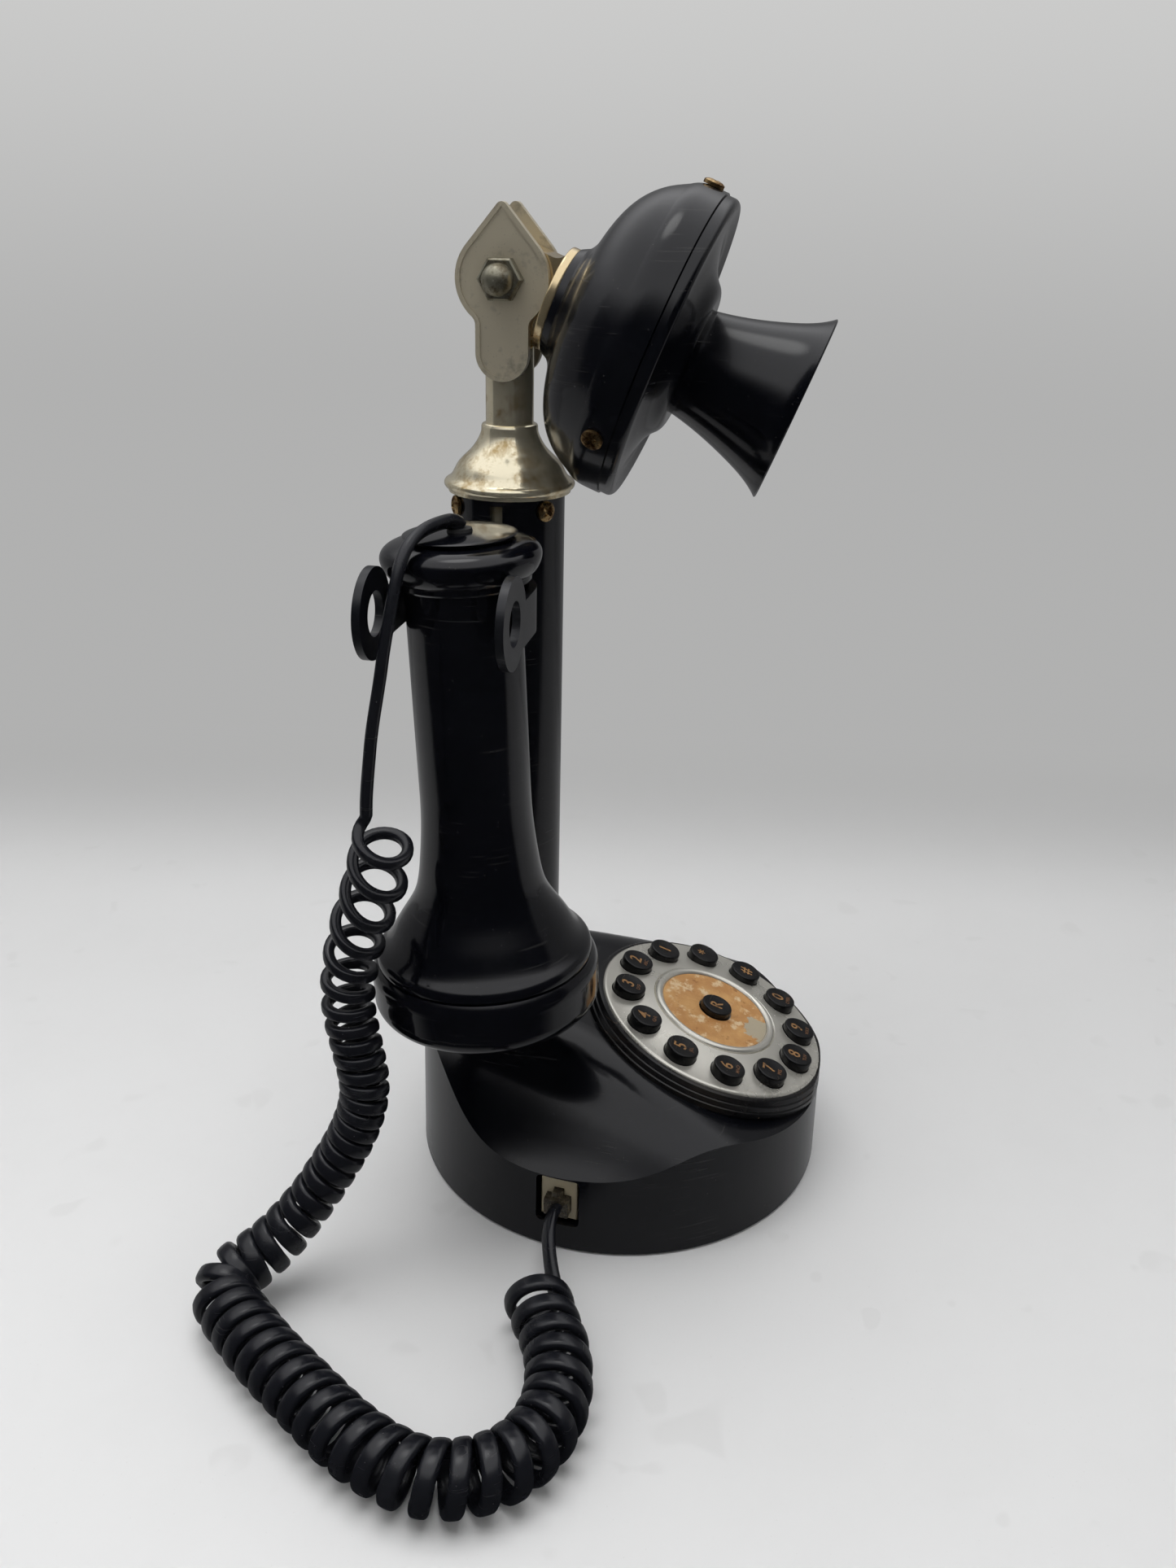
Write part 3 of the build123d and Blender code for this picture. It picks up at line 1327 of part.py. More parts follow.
plug_lead_points = [
    coil_end,
    between(coil_before_end, coil_end, 1.5),
    tuple(plug_out),
    tuple(plug_end),
]

cord_tube(lead_points, lead_diameter, "receiver_lead")
cord_tube(coil_hanging_points, coil_diameter, "coil_hanging")
cord_tube(coil_lying_points, coil_diameter, "coil_lying")
cord_tube(plug_lead_points, lead_diameter, "plug_lead")
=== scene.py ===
"""Looks of a candlestick telephone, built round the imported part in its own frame.

Sizes in the classes are in millimetres, apart from the studio's; meshes are made in metres.
"""

import logging
import math
from dataclasses import dataclass
from enum import Enum
from typing import Any, Optional, Sequence

import bmesh
import bpy
import numpy as np
from mathutils import Matrix


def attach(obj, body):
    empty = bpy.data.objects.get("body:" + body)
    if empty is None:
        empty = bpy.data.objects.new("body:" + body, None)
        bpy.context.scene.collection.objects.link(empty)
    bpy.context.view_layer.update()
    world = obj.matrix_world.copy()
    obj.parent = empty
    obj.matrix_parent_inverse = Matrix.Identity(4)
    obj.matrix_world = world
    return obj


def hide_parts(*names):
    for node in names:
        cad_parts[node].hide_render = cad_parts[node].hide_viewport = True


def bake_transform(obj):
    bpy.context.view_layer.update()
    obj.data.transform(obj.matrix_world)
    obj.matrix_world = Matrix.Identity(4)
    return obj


log = logging.getLogger("telephone")
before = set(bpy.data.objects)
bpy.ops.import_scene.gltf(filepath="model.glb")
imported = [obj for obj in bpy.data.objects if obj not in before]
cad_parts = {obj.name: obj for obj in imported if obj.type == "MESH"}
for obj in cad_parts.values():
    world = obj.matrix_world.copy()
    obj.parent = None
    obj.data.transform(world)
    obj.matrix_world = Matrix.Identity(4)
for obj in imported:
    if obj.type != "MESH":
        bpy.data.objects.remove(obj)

Array = np.ndarray
Pair = tuple[float, float]
Triple = tuple[float, float, float]
MM = 0.001
TURN = 2 * math.pi
MERGE_REACH = 2e-6
SHARP_ANGLE = math.radians(38)


class Body(Enum):
    """The rigid bodies that the scene's own fittings ride on."""

    STAND = "stand"
    TRANSMITTER = "transmitter"


# ------------------------------------------------------------------ lines and frames
def unit(vector: Array) -> Array:
    """The same direction with length one, for each row."""
    vector = np.asarray(vector, float)
    return vector / np.linalg.norm(vector, axis=-1, keepdims=True)


def smooth(share: Array) -> Array:
    """Nought below nought, one above one and 3 t^2 - 2 t^3 between."""
    t = np.clip(share, 0, 1)
    return t * t * (3 - 2 * t)


def distances(line: Array) -> Array:
    """How far each point of a line lies from its start, along the line."""
    return np.concatenate([[0], np.cumsum(np.linalg.norm(np.diff(line, axis=0), axis=1))])


def follow(table: Sequence[Pair], at: Array) -> Array:
    """A table's second column, read at places along its first with straight lines between."""
    return np.interp(at, *np.array(table, float).T)


def resample(at: Array, along: Array, line: Array) -> Array:
    """A line's points at new distances, with straight lines between the old ones."""
    return np.stack([np.interp(at, along, line[:, k]) for k in range(3)], -1)


@dataclass(frozen=True)
class Axes:
    """A local frame inside the row frame, in millimetres: z is its axis, x is across."""

    origin: Triple
    z: Triple = (0.0, 0.0, 1.0)
    x: Triple = (1.0, 0.0, 0.0)

    def basis(self) -> Array:
        """Its three unit directions, one per row."""
        z = unit(np.array(self.z))
        x = np.array(self.x, float)
        x = unit(x - (x @ z) * z)
        return np.array([x, np.cross(z, x), z])

    def place(self, local: Array) -> Array:
        """Row-frame places of local ones: origin + a x + b y + c z for each (a, b, c)."""
        return np.array(self.origin) + np.asarray(local, float) @ self.basis()

    def at(self, a: float, b: float, c: float, z: Optional[Sequence[float]] = None,
           x: Optional[Sequence[float]] = None) -> "Axes":
        """A frame at a local place, turned to local directions z and x where they are given.

        Args:
            a, b, c: place in this frame.
            z: new axis, in this frame's directions.
            x: new cross direction, in this frame's directions.

        Returns:
            The new frame, again in the row frame.
        """
        basis = self.basis()
        new_z = basis[2] if z is None else np.array(z, float) @ basis
        new_x = basis[0] if x is None else np.array(x, float) @ basis
        return Axes(tuple(self.place(np.array([a, b, c]))), tuple(new_z), tuple(new_x))


# ------------------------------------------------------------------ outlines
def rounded(points: Sequence[Sequence[float]], closed: bool = False, steps: int = 5) -> Array:
    """A polyline whose corners are cut by small parabolic arcs.

    Each corner P with setback t becomes (1-u)^2 A + 2u(1-u) P + u^2 B, where A and B lie t along
    the two sides from P.

    Args:
        points: corners as (a, b, setback).
        closed: whether the last corner joins the first.
        steps: points on each arc.

    Returns:
        The outline's points, (n, 2).
    """
    table = np.array(points, float)
    corner, setback = table[:, :2], table[:, 2:3].copy()
    before, after = np.roll(corner, 1, 0), np.roll(corner, -1, 0)
    if not closed:
        setback[[0, -1]] = 0
    toward = [(side - corner) / np.maximum(np.linalg.norm(side - corner, axis=1, keepdims=True), 1e-9)
              for side in (before, after)]
    start, end = corner + toward[0] * setback, corner + toward[1] * setback
    u = np.linspace(0, 1, steps)[None, :, None]
    arcs = (1 - u) ** 2 * start[:, None] + 2 * u * (1 - u) * corner[:, None] + u**2 * end[:, None]
    line = arcs.reshape(-1, 2)
    keep = np.concatenate([[True], np.linalg.norm(np.diff(line, axis=0), axis=1) > 1e-5])
    return line[keep]


def flowing(points: Sequence[Pair], count: int) -> Array:
    """A smooth curve through points: cubic Hermite pieces whose slopes are chord-length differences.

    Args:
        points: the points that it passes.
        count: how many points it gets.

    Returns:
        The curve's points, evenly spaced by chord length.
    """
    knots = np.array(points, float)
    along = distances(knots)
    slopes = np.gradient(knots, along, axis=0)
    at = np.linspace(0, along[-1], count)
    i = np.clip(np.searchsorted(along, at, "right") - 1, 0, len(along) - 2)
    h = (along[i + 1] - along[i])[:, None]
    u = (at[:, None] - along[i][:, None]) / h
    return ((2 * u**3 - 3 * u**2 + 1) * knots[i] + (u**3 - 2 * u**2 + u) * h * slopes[i]
            + (3 * u**2 - 2 * u**3) * knots[i + 1] + (u**3 - u**2) * h * slopes[i + 1])


def inset(outline: Array, by: float) -> Array:
    """A closed outline moved inwards along its own normals.

    Args:
        outline: (n, 2) points.
        by: how far.

    Returns:
        The moved points.
    """
    along = unit(np.roll(outline, -1, 0) - np.roll(outline, 1, 0))
    area = np.sum(outline[:, 0] * np.roll(outline[:, 1], -1) - outline[:, 1] * np.roll(outline[:, 0], -1))
    inward = np.stack([-along[:, 1], along[:, 0]], -1) * np.sign(area)
    return outline + inward * by


# ------------------------------------------------------------------ surfaces
@dataclass
class Surface:
    """Points in millimetres and the faces between them, before they become a mesh."""

    points: Array
    faces: Array


def joined(parts: Sequence[Surface]) -> Surface:
    """Several surfaces as one, each one's faces counted on from the points before it."""
    starts = np.cumsum([0, *(len(part.points) for part in parts[:-1])])
    faces = [part.faces + start for part, start in zip(parts, starts)]
    return Surface(np.vstack([part.points for part in parts]), np.vstack(faces))


def grid(points: Array, wrap_rows: bool = False) -> Surface:
    """The quads between neighbours on a grid of points that closes along its rows.

    Args:
        points: (rows, columns, 3); each row's last point joins its first.
        wrap_rows: whether the last row joins the first, too.

    Returns:
        The surface.
    """
    index = np.arange(points.shape[0] * points.shape[1]).reshape(points.shape[:2])
    down = np.roll(index, -1, 0) if wrap_rows else index[1:]
    here = index if wrap_rows else index[:-1]
    faces = np.stack([here, np.roll(here, -1, 1), np.roll(down, -1, 1), down], -1)
    return Surface(points.reshape(-1, 3), faces.reshape(-1, 4))


def polar(radii: Array, height: Array, count: int) -> Array:
    """Local places on rings, (r cos t, r sin t, h).

    Args:
        radii: (n, 1) radius of each ring.
        height: (n, 1) or (n, count) heights.
        count: steps round the turn.

    Returns:
        The places, (n, count, 3).
    """
    turn = np.arange(count) * TURN / count
    height = np.broadcast_to(height, (len(radii), count))
    return np.stack([radii * np.cos(turn), radii * np.sin(turn), height], -1)


def revolved(profile: Array, axes: Axes, segments: int) -> Surface:
    """A profile (radius, height) carried round a frame's axis."""
    return grid(axes.place(polar(profile[:, :1], profile[:, 1:], segments)))


def box(size: Triple, axes: Axes, edge: float) -> Surface:
    """A block with softened edges, standing on its frame's plane.

    Its outline is raised through four levels, drawn in by the edge at the first and the last, and
    each end is a fan that meets in the middle.

    Args:
        size: (x, y, z).
        axes: its frame.
        edge: how far its edges are cut back.

    Returns:
        The closed surface.
    """
    a, b, c = size[0] / 2, size[1] / 2, size[2]
    outline = rounded([(-a, -b, edge), (a, -b, edge), (a, b, edge), (-a, b, edge)], True, 4)
    middle = np.broadcast_to(outline.mean(0), outline.shape)
    rings = [(middle, 0), (inset(outline, edge), 0), (outline, edge), (outline, c - edge),
             (inset(outline, edge), c), (middle, c)]
    levels = [np.column_stack([ring, np.full(len(ring), height)]) for ring, height in rings]
    return grid(axes.place(np.stack(levels)))


def tube(path: Array, rings: Array) -> Surface:
    """Rings of points round a path, each end drawn together on the path's own end."""
    ends = [np.broadcast_to(path[k], rings[:1].shape) for k in (0, -1)]
    return grid(np.concatenate([ends[0], rings, ends[1]]))


def swept(path: Array, section: Array, across: Array) -> Surface:
    """A section (width, thickness) carried along a path.

    At each path point the width direction is the given one made square to the path's tangent T,
    W = w - (w.T)T, and the thickness direction is T x W.

    Args:
        path: (n, 3) centre points, in millimetres.
        section: (m, 2) closed section.
        across: the width direction.

    Returns:
        The tube with its two ends shut.
    """
    tangent = unit(np.gradient(path, axis=0))
    wide = np.broadcast_to(across, path.shape)
    wide = unit(wide - (wide * tangent).sum(-1, keepdims=True) * tangent)
    thick = np.cross(tangent, wide)
    rings = path[:, None] + section[None, :, :1] * wide[:, None] + section[None, :, 1:] * thick[:, None]
    return tube(path, rings)


# ------------------------------------------------------------------ objects
def linked(name: str, data: Any) -> bpy.types.Object:
    """A new object in the scene."""
    made = bpy.data.objects.new(name, data)
    bpy.context.scene.collection.objects.link(made)
    return made


def turn_to(made: bpy.types.Object, directions: Sequence[Array], place: Triple) -> None:
    """Gives a lamp or a camera its right, up and back directions and its place in metres."""
    matrix = np.eye(4)
    matrix[:3] = np.column_stack([*directions, place])
    made.matrix_world = Matrix(matrix.tolist())


def read_points(mesh: bpy.types.Mesh) -> Array:
    """A mesh's points, (n, 3)."""
    flat = np.empty(len(mesh.vertices) * 3)
    mesh.vertices.foreach_get("co", flat)
    return flat.reshape(-1, 3)


def read_curve(curve: bpy.types.Curve) -> tuple[Array, list[list[int]]]:
    """The points and faces that a curve or a text makes; the curve is deleted."""
    holder = bpy.data.objects.new(curve.name, curve)
    mesh = bpy.data.meshes.new_from_object(holder)
    points, faces = read_points(mesh), [list(polygon.vertices) for polygon in mesh.polygons]
    bpy.data.meshes.remove(mesh)
    bpy.data.objects.remove(holder)
    bpy.data.curves.remove(curve)
    return points, faces


def make_piece(name: str, surface: Surface) -> bpy.types.Object:
    """A mesh object from a surface, closed at its poles, its faces outwards and shaded smooth.

    Args:
        name: the piece's name.
        surface: points in millimetres.

    Returns:
        The object, at the origin.
    """
    mesh = bpy.data.meshes.new(name)
    mesh.from_pydata((surface.points * MM).tolist(), [], surface.faces.tolist())
    work = bmesh.new()
    work.from_mesh(mesh)
    bmesh.ops.remove_doubles(work, verts=work.verts, dist=MERGE_REACH)
    bmesh.ops.dissolve_degenerate(work, edges=work.edges, dist=1e-7)
    bmesh.ops.recalc_face_normals(work, faces=work.faces)
    work.to_mesh(mesh)
    work.free()
    mesh.polygons.foreach_set("use_smooth", np.ones(len(mesh.polygons), bool))
    mesh.set_sharp_from_angle(angle=SHARP_ANGLE)
    return linked(name, mesh)


def finish_piece(made: bpy.types.Object, material: bpy.types.Material, body: str,
                 nodes: Sequence[str] = ()) -> None:
    """Dresses a piece, puts it on its body and hides the nodes that it stands for.

    Args:
        made: the piece.
        material: its finish.
        body: the body that it rides on.
        nodes: the CAD nodes that it replaces.
    """
    made.data.materials.append(material)
    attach(made, body)
    if nodes:
        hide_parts(*nodes)
    log.info("piece %s on %s: %d faces", made.name, body, len(made.data.polygons))


# ------------------------------------------------------------------ shader graphs
Socket = bpy.types.NodeSocket


def shade(colour: Triple) -> tuple[float, float, float, float]:
    """A colour with full alpha."""
    return (*colour, 1.0)


class Graph:
    """A node tree that is being filled in."""

    def __init__(self, tree: bpy.types.NodeTree) -> None:
        """Starts on a tree."""
        self.tree = tree

    def link(self, value: Socket, socket: Socket) -> None:
        """Leads a value into a socket."""
        self.tree.links.new(value, socket)

    def add(self, kind: str, values: Optional[dict[Any, Any]] = None, **settings: Any) -> bpy.types.Node:
        """A new node.

        Args:
            kind: its Blender type, without the ShaderNode in front.
            values: input name or number to a number, a colour or another node's socket.
            settings: the node's own settings.

        Returns:
            The node.
        """
        node = self.tree.nodes.new(kind if kind.startswith("Node") else f"ShaderNode{kind}")
        for key, value in settings.items():
            setattr(node, key, value)
        for key, value in (values or {}).items():
            if isinstance(value, Socket):
                self.link(value, node.inputs[key])
            else:
                node.inputs[key].default_value = value
        return node

    def maths(self, operation: str, *values: Any, clamp: bool = False) -> Socket:
        """One sum on two or three values."""
        return self.add("Math", dict(enumerate(values)), operation=operation, use_clamp=clamp).outputs[0]

    def times(self, a: Any, b: Any, clamp: bool = False) -> Socket:
        """One value times another."""
        return self.maths("MULTIPLY", a, b, clamp=clamp)

    def most(self, a: Any, b: Any) -> Socket:
        """The greater of two values."""
        return self.maths("MAXIMUM", a, b)

    def mix(self, share: Any, a: Any, b: Any) -> Socket:
        """A colour between a and b, which are inputs 6 and 7 of a Mix node for colours."""
        return self.add("Mix", {0: share, 6: a, 7: b}, data_type="RGBA").outputs[2]

    def between(self, share: Any, a: Any, b: Any) -> Socket:
        """A value between a and b, which are inputs 2 and 3 of a Mix node for values."""
        return self.add("Mix", {0: share, 2: a, 3: b}, data_type="FLOAT").outputs[0]

    def step(self, value: Any, low: float, high: float) -> Socket:
        """Nought below low, one above high and smooth between."""
        values = {"Value": value, "From Min": low, "From Max": high}
        return self.add("MapRange", values, interpolation_type="SMOOTHSTEP").outputs[0]

    def noise(self, vector: Any, scale: Any, detail: float = 3.0, roughness: float = 0.55) -> Socket:
        """A cloudy value from nought to one."""
        values = {"Vector": vector, "Scale": scale, "Detail": detail, "Roughness": roughness}
        return self.add("TexNoise", values).outputs["Fac"]

    def turned(self, vector: Any, rotation: Triple, scale: Triple) -> Socket:
        """A vector turned and scaled by a Mapping node."""
        return self.add("Mapping", {"Vector": vector, "Rotation": rotation, "Scale": scale}).outputs[0]

    def specks(self, vector: Any, scale: Any, size: Pair, kept: Pair, channel: int) -> tuple[Socket, Socket]:
        """Round specks at the hearts of random cells.

        Args:
            vector: the pattern's coordinates.
            scale: cells per metre.
            size: a speck's full and outer reach, as shares of a cell.
            kept: random levels between which a cell's speck comes in.
            channel: which random number of a cell decides.

        Returns:
            The specks of all cells, and the mask of the cells that keep theirs.
        """
        cells = self.add("TexVoronoi", {"Vector": vector, "Scale": scale})
        chosen = self.step(self.add("SeparateColor", {0: cells.outputs["Color"]}).outputs[channel], *kept)
        return self.maths("SUBTRACT", 1.0, self.step(cells.outputs["Distance"], *size)), chosen

    def group(self, tree: bpy.types.NodeTree, values: dict[str, Any]) -> Any:
        """Places a node group and returns its outputs."""
        return self.add("Group", values, node_tree=tree).outputs


def shader_group(name: str, inputs: dict[str, Any], outputs: Sequence[str]) -> tuple[Graph, Any, Any]:
    """An empty shader node group.

    Args:
        name: the group's name.
        inputs: socket name to its default; None stands for a vector.
        outputs: names of its value outputs.

    Returns:
        Its graph, its inputs' sockets and its outputs' sockets.
    """
    tree = bpy.data.node_groups.new(name, "ShaderNodeTree")
    for key, value in inputs.items():
        kind = "NodeSocketVector" if value is None else "NodeSocketFloat"
        socket = tree.interface.new_socket(name=key, in_out="INPUT", socket_type=kind)
        if value is not None:
            socket.default_value = value
    for key in outputs:
        tree.interface.new_socket(name=key, in_out="OUTPUT", socket_type="NodeSocketFloat")
    g = Graph(tree)
    return g, g.add("NodeGroupInput").outputs, g.add("NodeGroupOutput").inputs


def handling_marks() -> bpy.types.NodeTree:
    """Fine scratches, specks of dust and smudges, as masks, and the height of the scratches.

    A scratch is a high level of a noise that is drawn out long and thin, kept in patches only.

    Returns:
        The node group.
    """
    inputs = {"Vector": None, "Scratches": 0.5, "Dust": 0.5, "Smudges": 0.5}
    g, given, out = shader_group("handling marks", inputs, ["Scratch", "Dust", "Smudge", "Height"])
    vector = given["Vector"]
    strokes = []
    for rotation, length, fineness in (((0.5, 0.9, 0.2), 55, 1900), ((1.3, 0.3, 0.8), 40, 1500),
                                       ((0.2, 2.1, 1.4), 90, 2600)):
        lines = g.noise(g.turned(vector, rotation, (length, length, fineness)), 1.0, 0.0)
        patches = g.step(g.noise(vector, 34 + length * 0.2, 1.0), 0.52, 0.62)
        strokes.append(g.times(g.step(lines, 0.735, 0.79), patches))
    scratch = g.times(g.most(g.most(strokes[0], strokes[1]), strokes[2]), given["Scratches"], clamp=True)
    specks, kept = g.specks(vector, 620.0, (0.05, 0.13), (0.80, 0.84), 0)
    dust = g.times(g.times(specks, kept), given["Dust"], clamp=True)
    smudge = g.times(g.step(g.noise(vector, 21.0, 5.0, 0.62), 0.42, 0.72), given["Smudges"], clamp=True)
    height = g.maths("SUBTRACT", g.times(dust, 0.5), scratch)
    for key, value in {"Scratch": scratch, "Dust": dust, "Smudge": smudge, "Height": height}.items():
        g.link(value, out[key])
    return g.tree


def tarnish_marks() -> bpy.types.NodeTree:
    """Cloudy tarnish with a denser heart, and small pits, as masks.

    The cloud is 7 (3/4 broad noise + 1/4 fine noise - level) + 1/2, and more tarnish lowers the level.

    Returns:
        The node group.
    """
    g, given, out = shader_group("tarnish", {"Vector": None, "Scale": 60.0, "Amount": 0.5}, ["Cloud", "Pits"])
    vector, scale = given["Vector"], given["Scale"]
    broad = g.noise(vector, scale, 6.0, 0.66)
    fine = g.noise(vector, g.times(scale, 6.0), 3.0, 0.6)
    both = g.maths("ADD", g.times(broad, 0.75), g.times(fine, 0.25))
    level = g.maths("SUBTRACT", 0.72, g.times(given["Amount"], 0.3))
    spread = g.times(g.maths("SUBTRACT", both, level), 7.0)
    g.link(g.maths("ADD", spread, 0.5, clamp=True), out["Cloud"])
    pits, kept = g.specks(vector, g.times(scale, 14.0), (0.1, 0.3), (0.8, 0.85), 1)
    g.link(g.times(g.times(pits, kept), given["Amount"]), out["Pits"])
    return g.tree


def grain_relief() -> bpy.types.NodeTree:
    """The slight waviness and grain of a moulded or rolled skin, as a height."""
    g, given, out = shader_group("skin grain", {"Vector": None, "Scale": 200.0, "Waviness": 0.5}, ["Height"])
    fine = g.noise(given["Vector"], given["Scale"], 4.0, 0.6)
    wave = g.noise(given["Vector"], g.times(given["Scale"], 0.12), 1.0)
    g.link(g.between(given["Waviness"], fine, wave), out["Height"])
    return g.tree


MARKS = handling_marks()
TARNISH = tarnish_marks()
GRAIN = grain_relief()


# ------------------------------------------------------------------ finishes
@dataclass(frozen=True)
class Finish:
    """A surface finish; its constants go straight to the shader's sockets."""

    name: str
    colour: Triple
    roughness: float

    def start(self, **constants: float) -> tuple[bpy.types.Material, Graph, Any, Socket]:
        """A new material.

        Args:
            constants: other inputs of the shader that are the same all over, _ for a space.

        Returns:
            The material, its graph, its shader's inputs and the object coordinates.
        """
        material = bpy.data.materials.new(self.name)
        material.use_nodes = True
        material.diffuse_color = shade(self.colour)
        g = Graph(material.node_tree)
        inputs = g.tree.nodes["Principled BSDF"].inputs
        inputs["Base Color"].default_value = shade(self.colour)
        inputs["Roughness"].default_value = self.roughness
        for key, value in constants.items():
            inputs[key.replace("_", " ")].default_value = value
        return material, g, inputs, g.add("TexCoord").outputs["Object"]

    def relief(self, g: Graph, inputs: Any, heights: Sequence[tuple[Socket, float]]) -> None:
        """Lays bumps one on another.

        Args:
            g: the material's graph.
            inputs: its shader's inputs.
            heights: each bump's height and its size in metres.
        """
        normal: dict[str, Socket] = {}
        for height, size in heights:
            bump = g.add("Bump", {"Height": height, "Distance": size, "Strength": 1.0, **normal})
            normal = {"Normal": bump.outputs[0]}
        g.link(normal["Normal"], inputs["Normal"])


@dataclass(frozen=True)
class Handled(Finish):
    """What moulded and plated finishes share: smudges, dust, scratches and a grained skin."""

    dust_colour: Triple = (0.25, 0.24, 0.22)
    smudges: float = 0.5
    dust: float = 0.5
    scratches: float = 0.5
    smudge_roughness: float = 0.16
    mark_relief: float = 0.00001
    grain: float = 0.00002
    grain_scale: float = 160.0
    waviness: float = 0.8

    def handle(self, g: Graph, inputs: Any, place: Socket) -> tuple[Any, Socket]:
        """Lays the marks and the skin's relief.

        Args:
            g: the material's graph.
            inputs: its shader's inputs.
            place: the object coordinates.

        Returns:
            The marks' masks, and the roughness that the smudges leave.
        """
        marks = g.group(MARKS, {"Vector": place, "Scratches": self.scratches, "Dust": self.dust,
                                "Smudges": self.smudges})
        grain = g.group(GRAIN, {"Vector": place, "Scale": self.grain_scale, "Waviness": self.waviness})
        self.relief(g, inputs, [(grain["Height"], self.grain), (marks["Height"], self.mark_relief)])
        return marks, g.maths("MULTIPLY_ADD", marks["Smudge"], self.smudge_roughness, self.roughness)


@dataclass(frozen=True)
class Moulded(Handled):
    """Moulded plastic or rubber; glass is its refractive index."""

    haze: Triple = (0.03, 0.032, 0.036)
    mark_roughness: float = 0.6
    coat: float = 0.0
    glass: float = 1.5

    def build(self) -> bpy.types.Material:
        """Makes the material: smudges haze its colour, and scratches and dust lie over them."""
        material, g, inputs, place = self.start(Coat_Weight=self.coat, Coat_Roughness=0.06, IOR=self.glass)
        marks, rough = self.handle(g, inputs, place)
        colour = g.mix(marks["Smudge"], shade(self.colour), shade(self.haze))
        colour = g.mix(g.times(marks["Scratch"], 0.5), colour, shade(self.dust_colour))
        g.link(g.mix(marks["Dust"], colour, shade(self.dust_colour)), inputs["Base Color"])
        rough = g.between(g.most(marks["Scratch"], marks["Dust"]), rough, self.mark_roughness)
        g.link(rough, inputs["Roughness"])
        return material


@dataclass(frozen=True)
class Plated(Handled):
    """Plated or bare metal with tarnish and pits."""

    dust_colour: Triple = (0.12, 0.1, 0.08)
    smudges: float = 0.7
    dust: float = 0.35
    scratches: float = 0.6
    smudge_roughness: float = 0.12
    mark_relief: float = 0.000006
    grain: float = 0.00001
    grain_scale: float = 500.0
    waviness: float = 0.5
    tarnish: Triple = (0.3, 0.2, 0.1)
    tarnish_roughness: float = 0.4
    amount: float = 0.4
    scale: float = 60.0
    dull: float = 0.25
    metallic: float = 1.0

    def build(self) -> bpy.types.Material:
        """Makes the material: tarnish and pits change its colour, and scratches dull it."""
        material, g, inputs, place = self.start(Metallic=self.metallic)
        tarnish = g.group(TARNISH, {"Vector": place, "Scale": self.scale, "Amount": self.amount})
        marks, rough = self.handle(g, inputs, place)
        mask = g.most(tarnish["Cloud"], tarnish["Pits"])
        colour = g.mix(mask, shade(self.colour), shade(self.tarnish))
        g.link(g.mix(marks["Dust"], colour, shade(self.dust_colour)), inputs["Base Color"])
        rough = g.between(mask, rough, self.tarnish_roughness)
        g.link(g.between(marks["Scratch"], rough, self.roughness + self.dull), inputs["Roughness"])
        return material


@dataclass(frozen=True)
class Card(Finish):
    """Aged printed card with stains, worn through to the bright plate on one side."""

    toasted: Triple = (0.68, 0.38, 0.14)
    stain: Triple = (0.33, 0.13, 0.03)
    cream: Triple = (0.8, 0.6, 0.36)
    fibre: Triple = (0.2, 0.1, 0.03)
    bare: Triple = (0.6, 0.53, 0.39)
    bare_roughness: float = 0.3
    bare_metallic: float = 0.3
    torn_place: Pair = (0.47, 0.07)
    torn_edge: Pair = (0.31, 0.335)
    raggedness: float = 0.34

    def build(self) -> bpy.types.Material:
        """Makes the material: three layers of stains, the torn patch and fibres, on the card's own UV map."""
        material, g, inputs, _ = self.start()
        flat = g.add("UVMap").outputs[0]
        colour: Any = shade(self.colour)
        for look, scale, detail, roughness, low, high in (
                (self.toasted, 3.2, 6.0, 0.62, 0.36, 0.66), (self.stain, 9.0, 5.0, 0.7, 0.56, 0.7),
                (self.cream, 5.2, 6.0, 0.68, 0.53, 0.63)):
            colour = g.mix(g.step(g.noise(flat, scale, detail, roughness), low, high), colour, shade(look))
        torn_place = (*self.torn_place, 0.0)
        away = g.add("VectorMath", {0: flat, 1: torn_place}, operation="DISTANCE").outputs["Value"]
        ragged = g.maths("ADD", away, g.times(g.noise(flat, 8.0, 5.0, 0.7), self.raggedness))
        torn = g.maths("SUBTRACT", 1.0, g.step(ragged, *self.torn_edge))
        fibres = g.noise(flat, 70.0, 4.0, 0.7)
        colour = g.mix(torn, colour, shade(self.bare))
        g.link(g.mix(g.times(fibres, 0.25), colour, shade(self.fibre)), inputs["Base Color"])
        g.link(g.times(torn, self.bare_metallic), inputs["Metallic"])
        g.link(g.between(torn, self.roughness, self.bare_roughness), inputs["Roughness"])
        self.relief(g, inputs, [(g.maths("SUBTRACT", fibres, torn), 0.00003)])
        return material


@dataclass(frozen=True)
class Clouded(Finish):
    """A finish with cloudy patches of a second one: worn print, or grimy clear plastic."""

    other: Triple = (0.06, 0.035, 0.02)
    other_roughness: float = 0.3
    scale: float = 420.0
    patches: Pair = (0.5, 0.66)
    transmission: float = 0.0

    def build(self) -> bpy.types.Material:
        """Makes the material."""
        material, g, inputs, place = self.start(Transmission_Weight=self.transmission, IOR=1.5, Metallic=0.0)
        patch = g.step(g.noise(place, self.scale, 4.0, 0.7), *self.patches)
        g.link(g.mix(patch, shade(self.colour), shade(self.other)), inputs["Base Color"])
        g.link(g.between(patch, self.roughness, self.other_roughness), inputs["Roughness"])
        return material


def dress(looks: dict[Finish, Sequence[str]]) -> None:
    """Gives the CAD nodes that keep their shape a better material.

    Args:
        looks: each finish with the nodes that share it.
    """
    for finish, nodes in looks.items():
        material = finish.build()
        for node in nodes:
            for held_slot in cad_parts[node].material_slots:
                held_slot.material = material
            log.info("node %s dressed with %s", node, material.name)


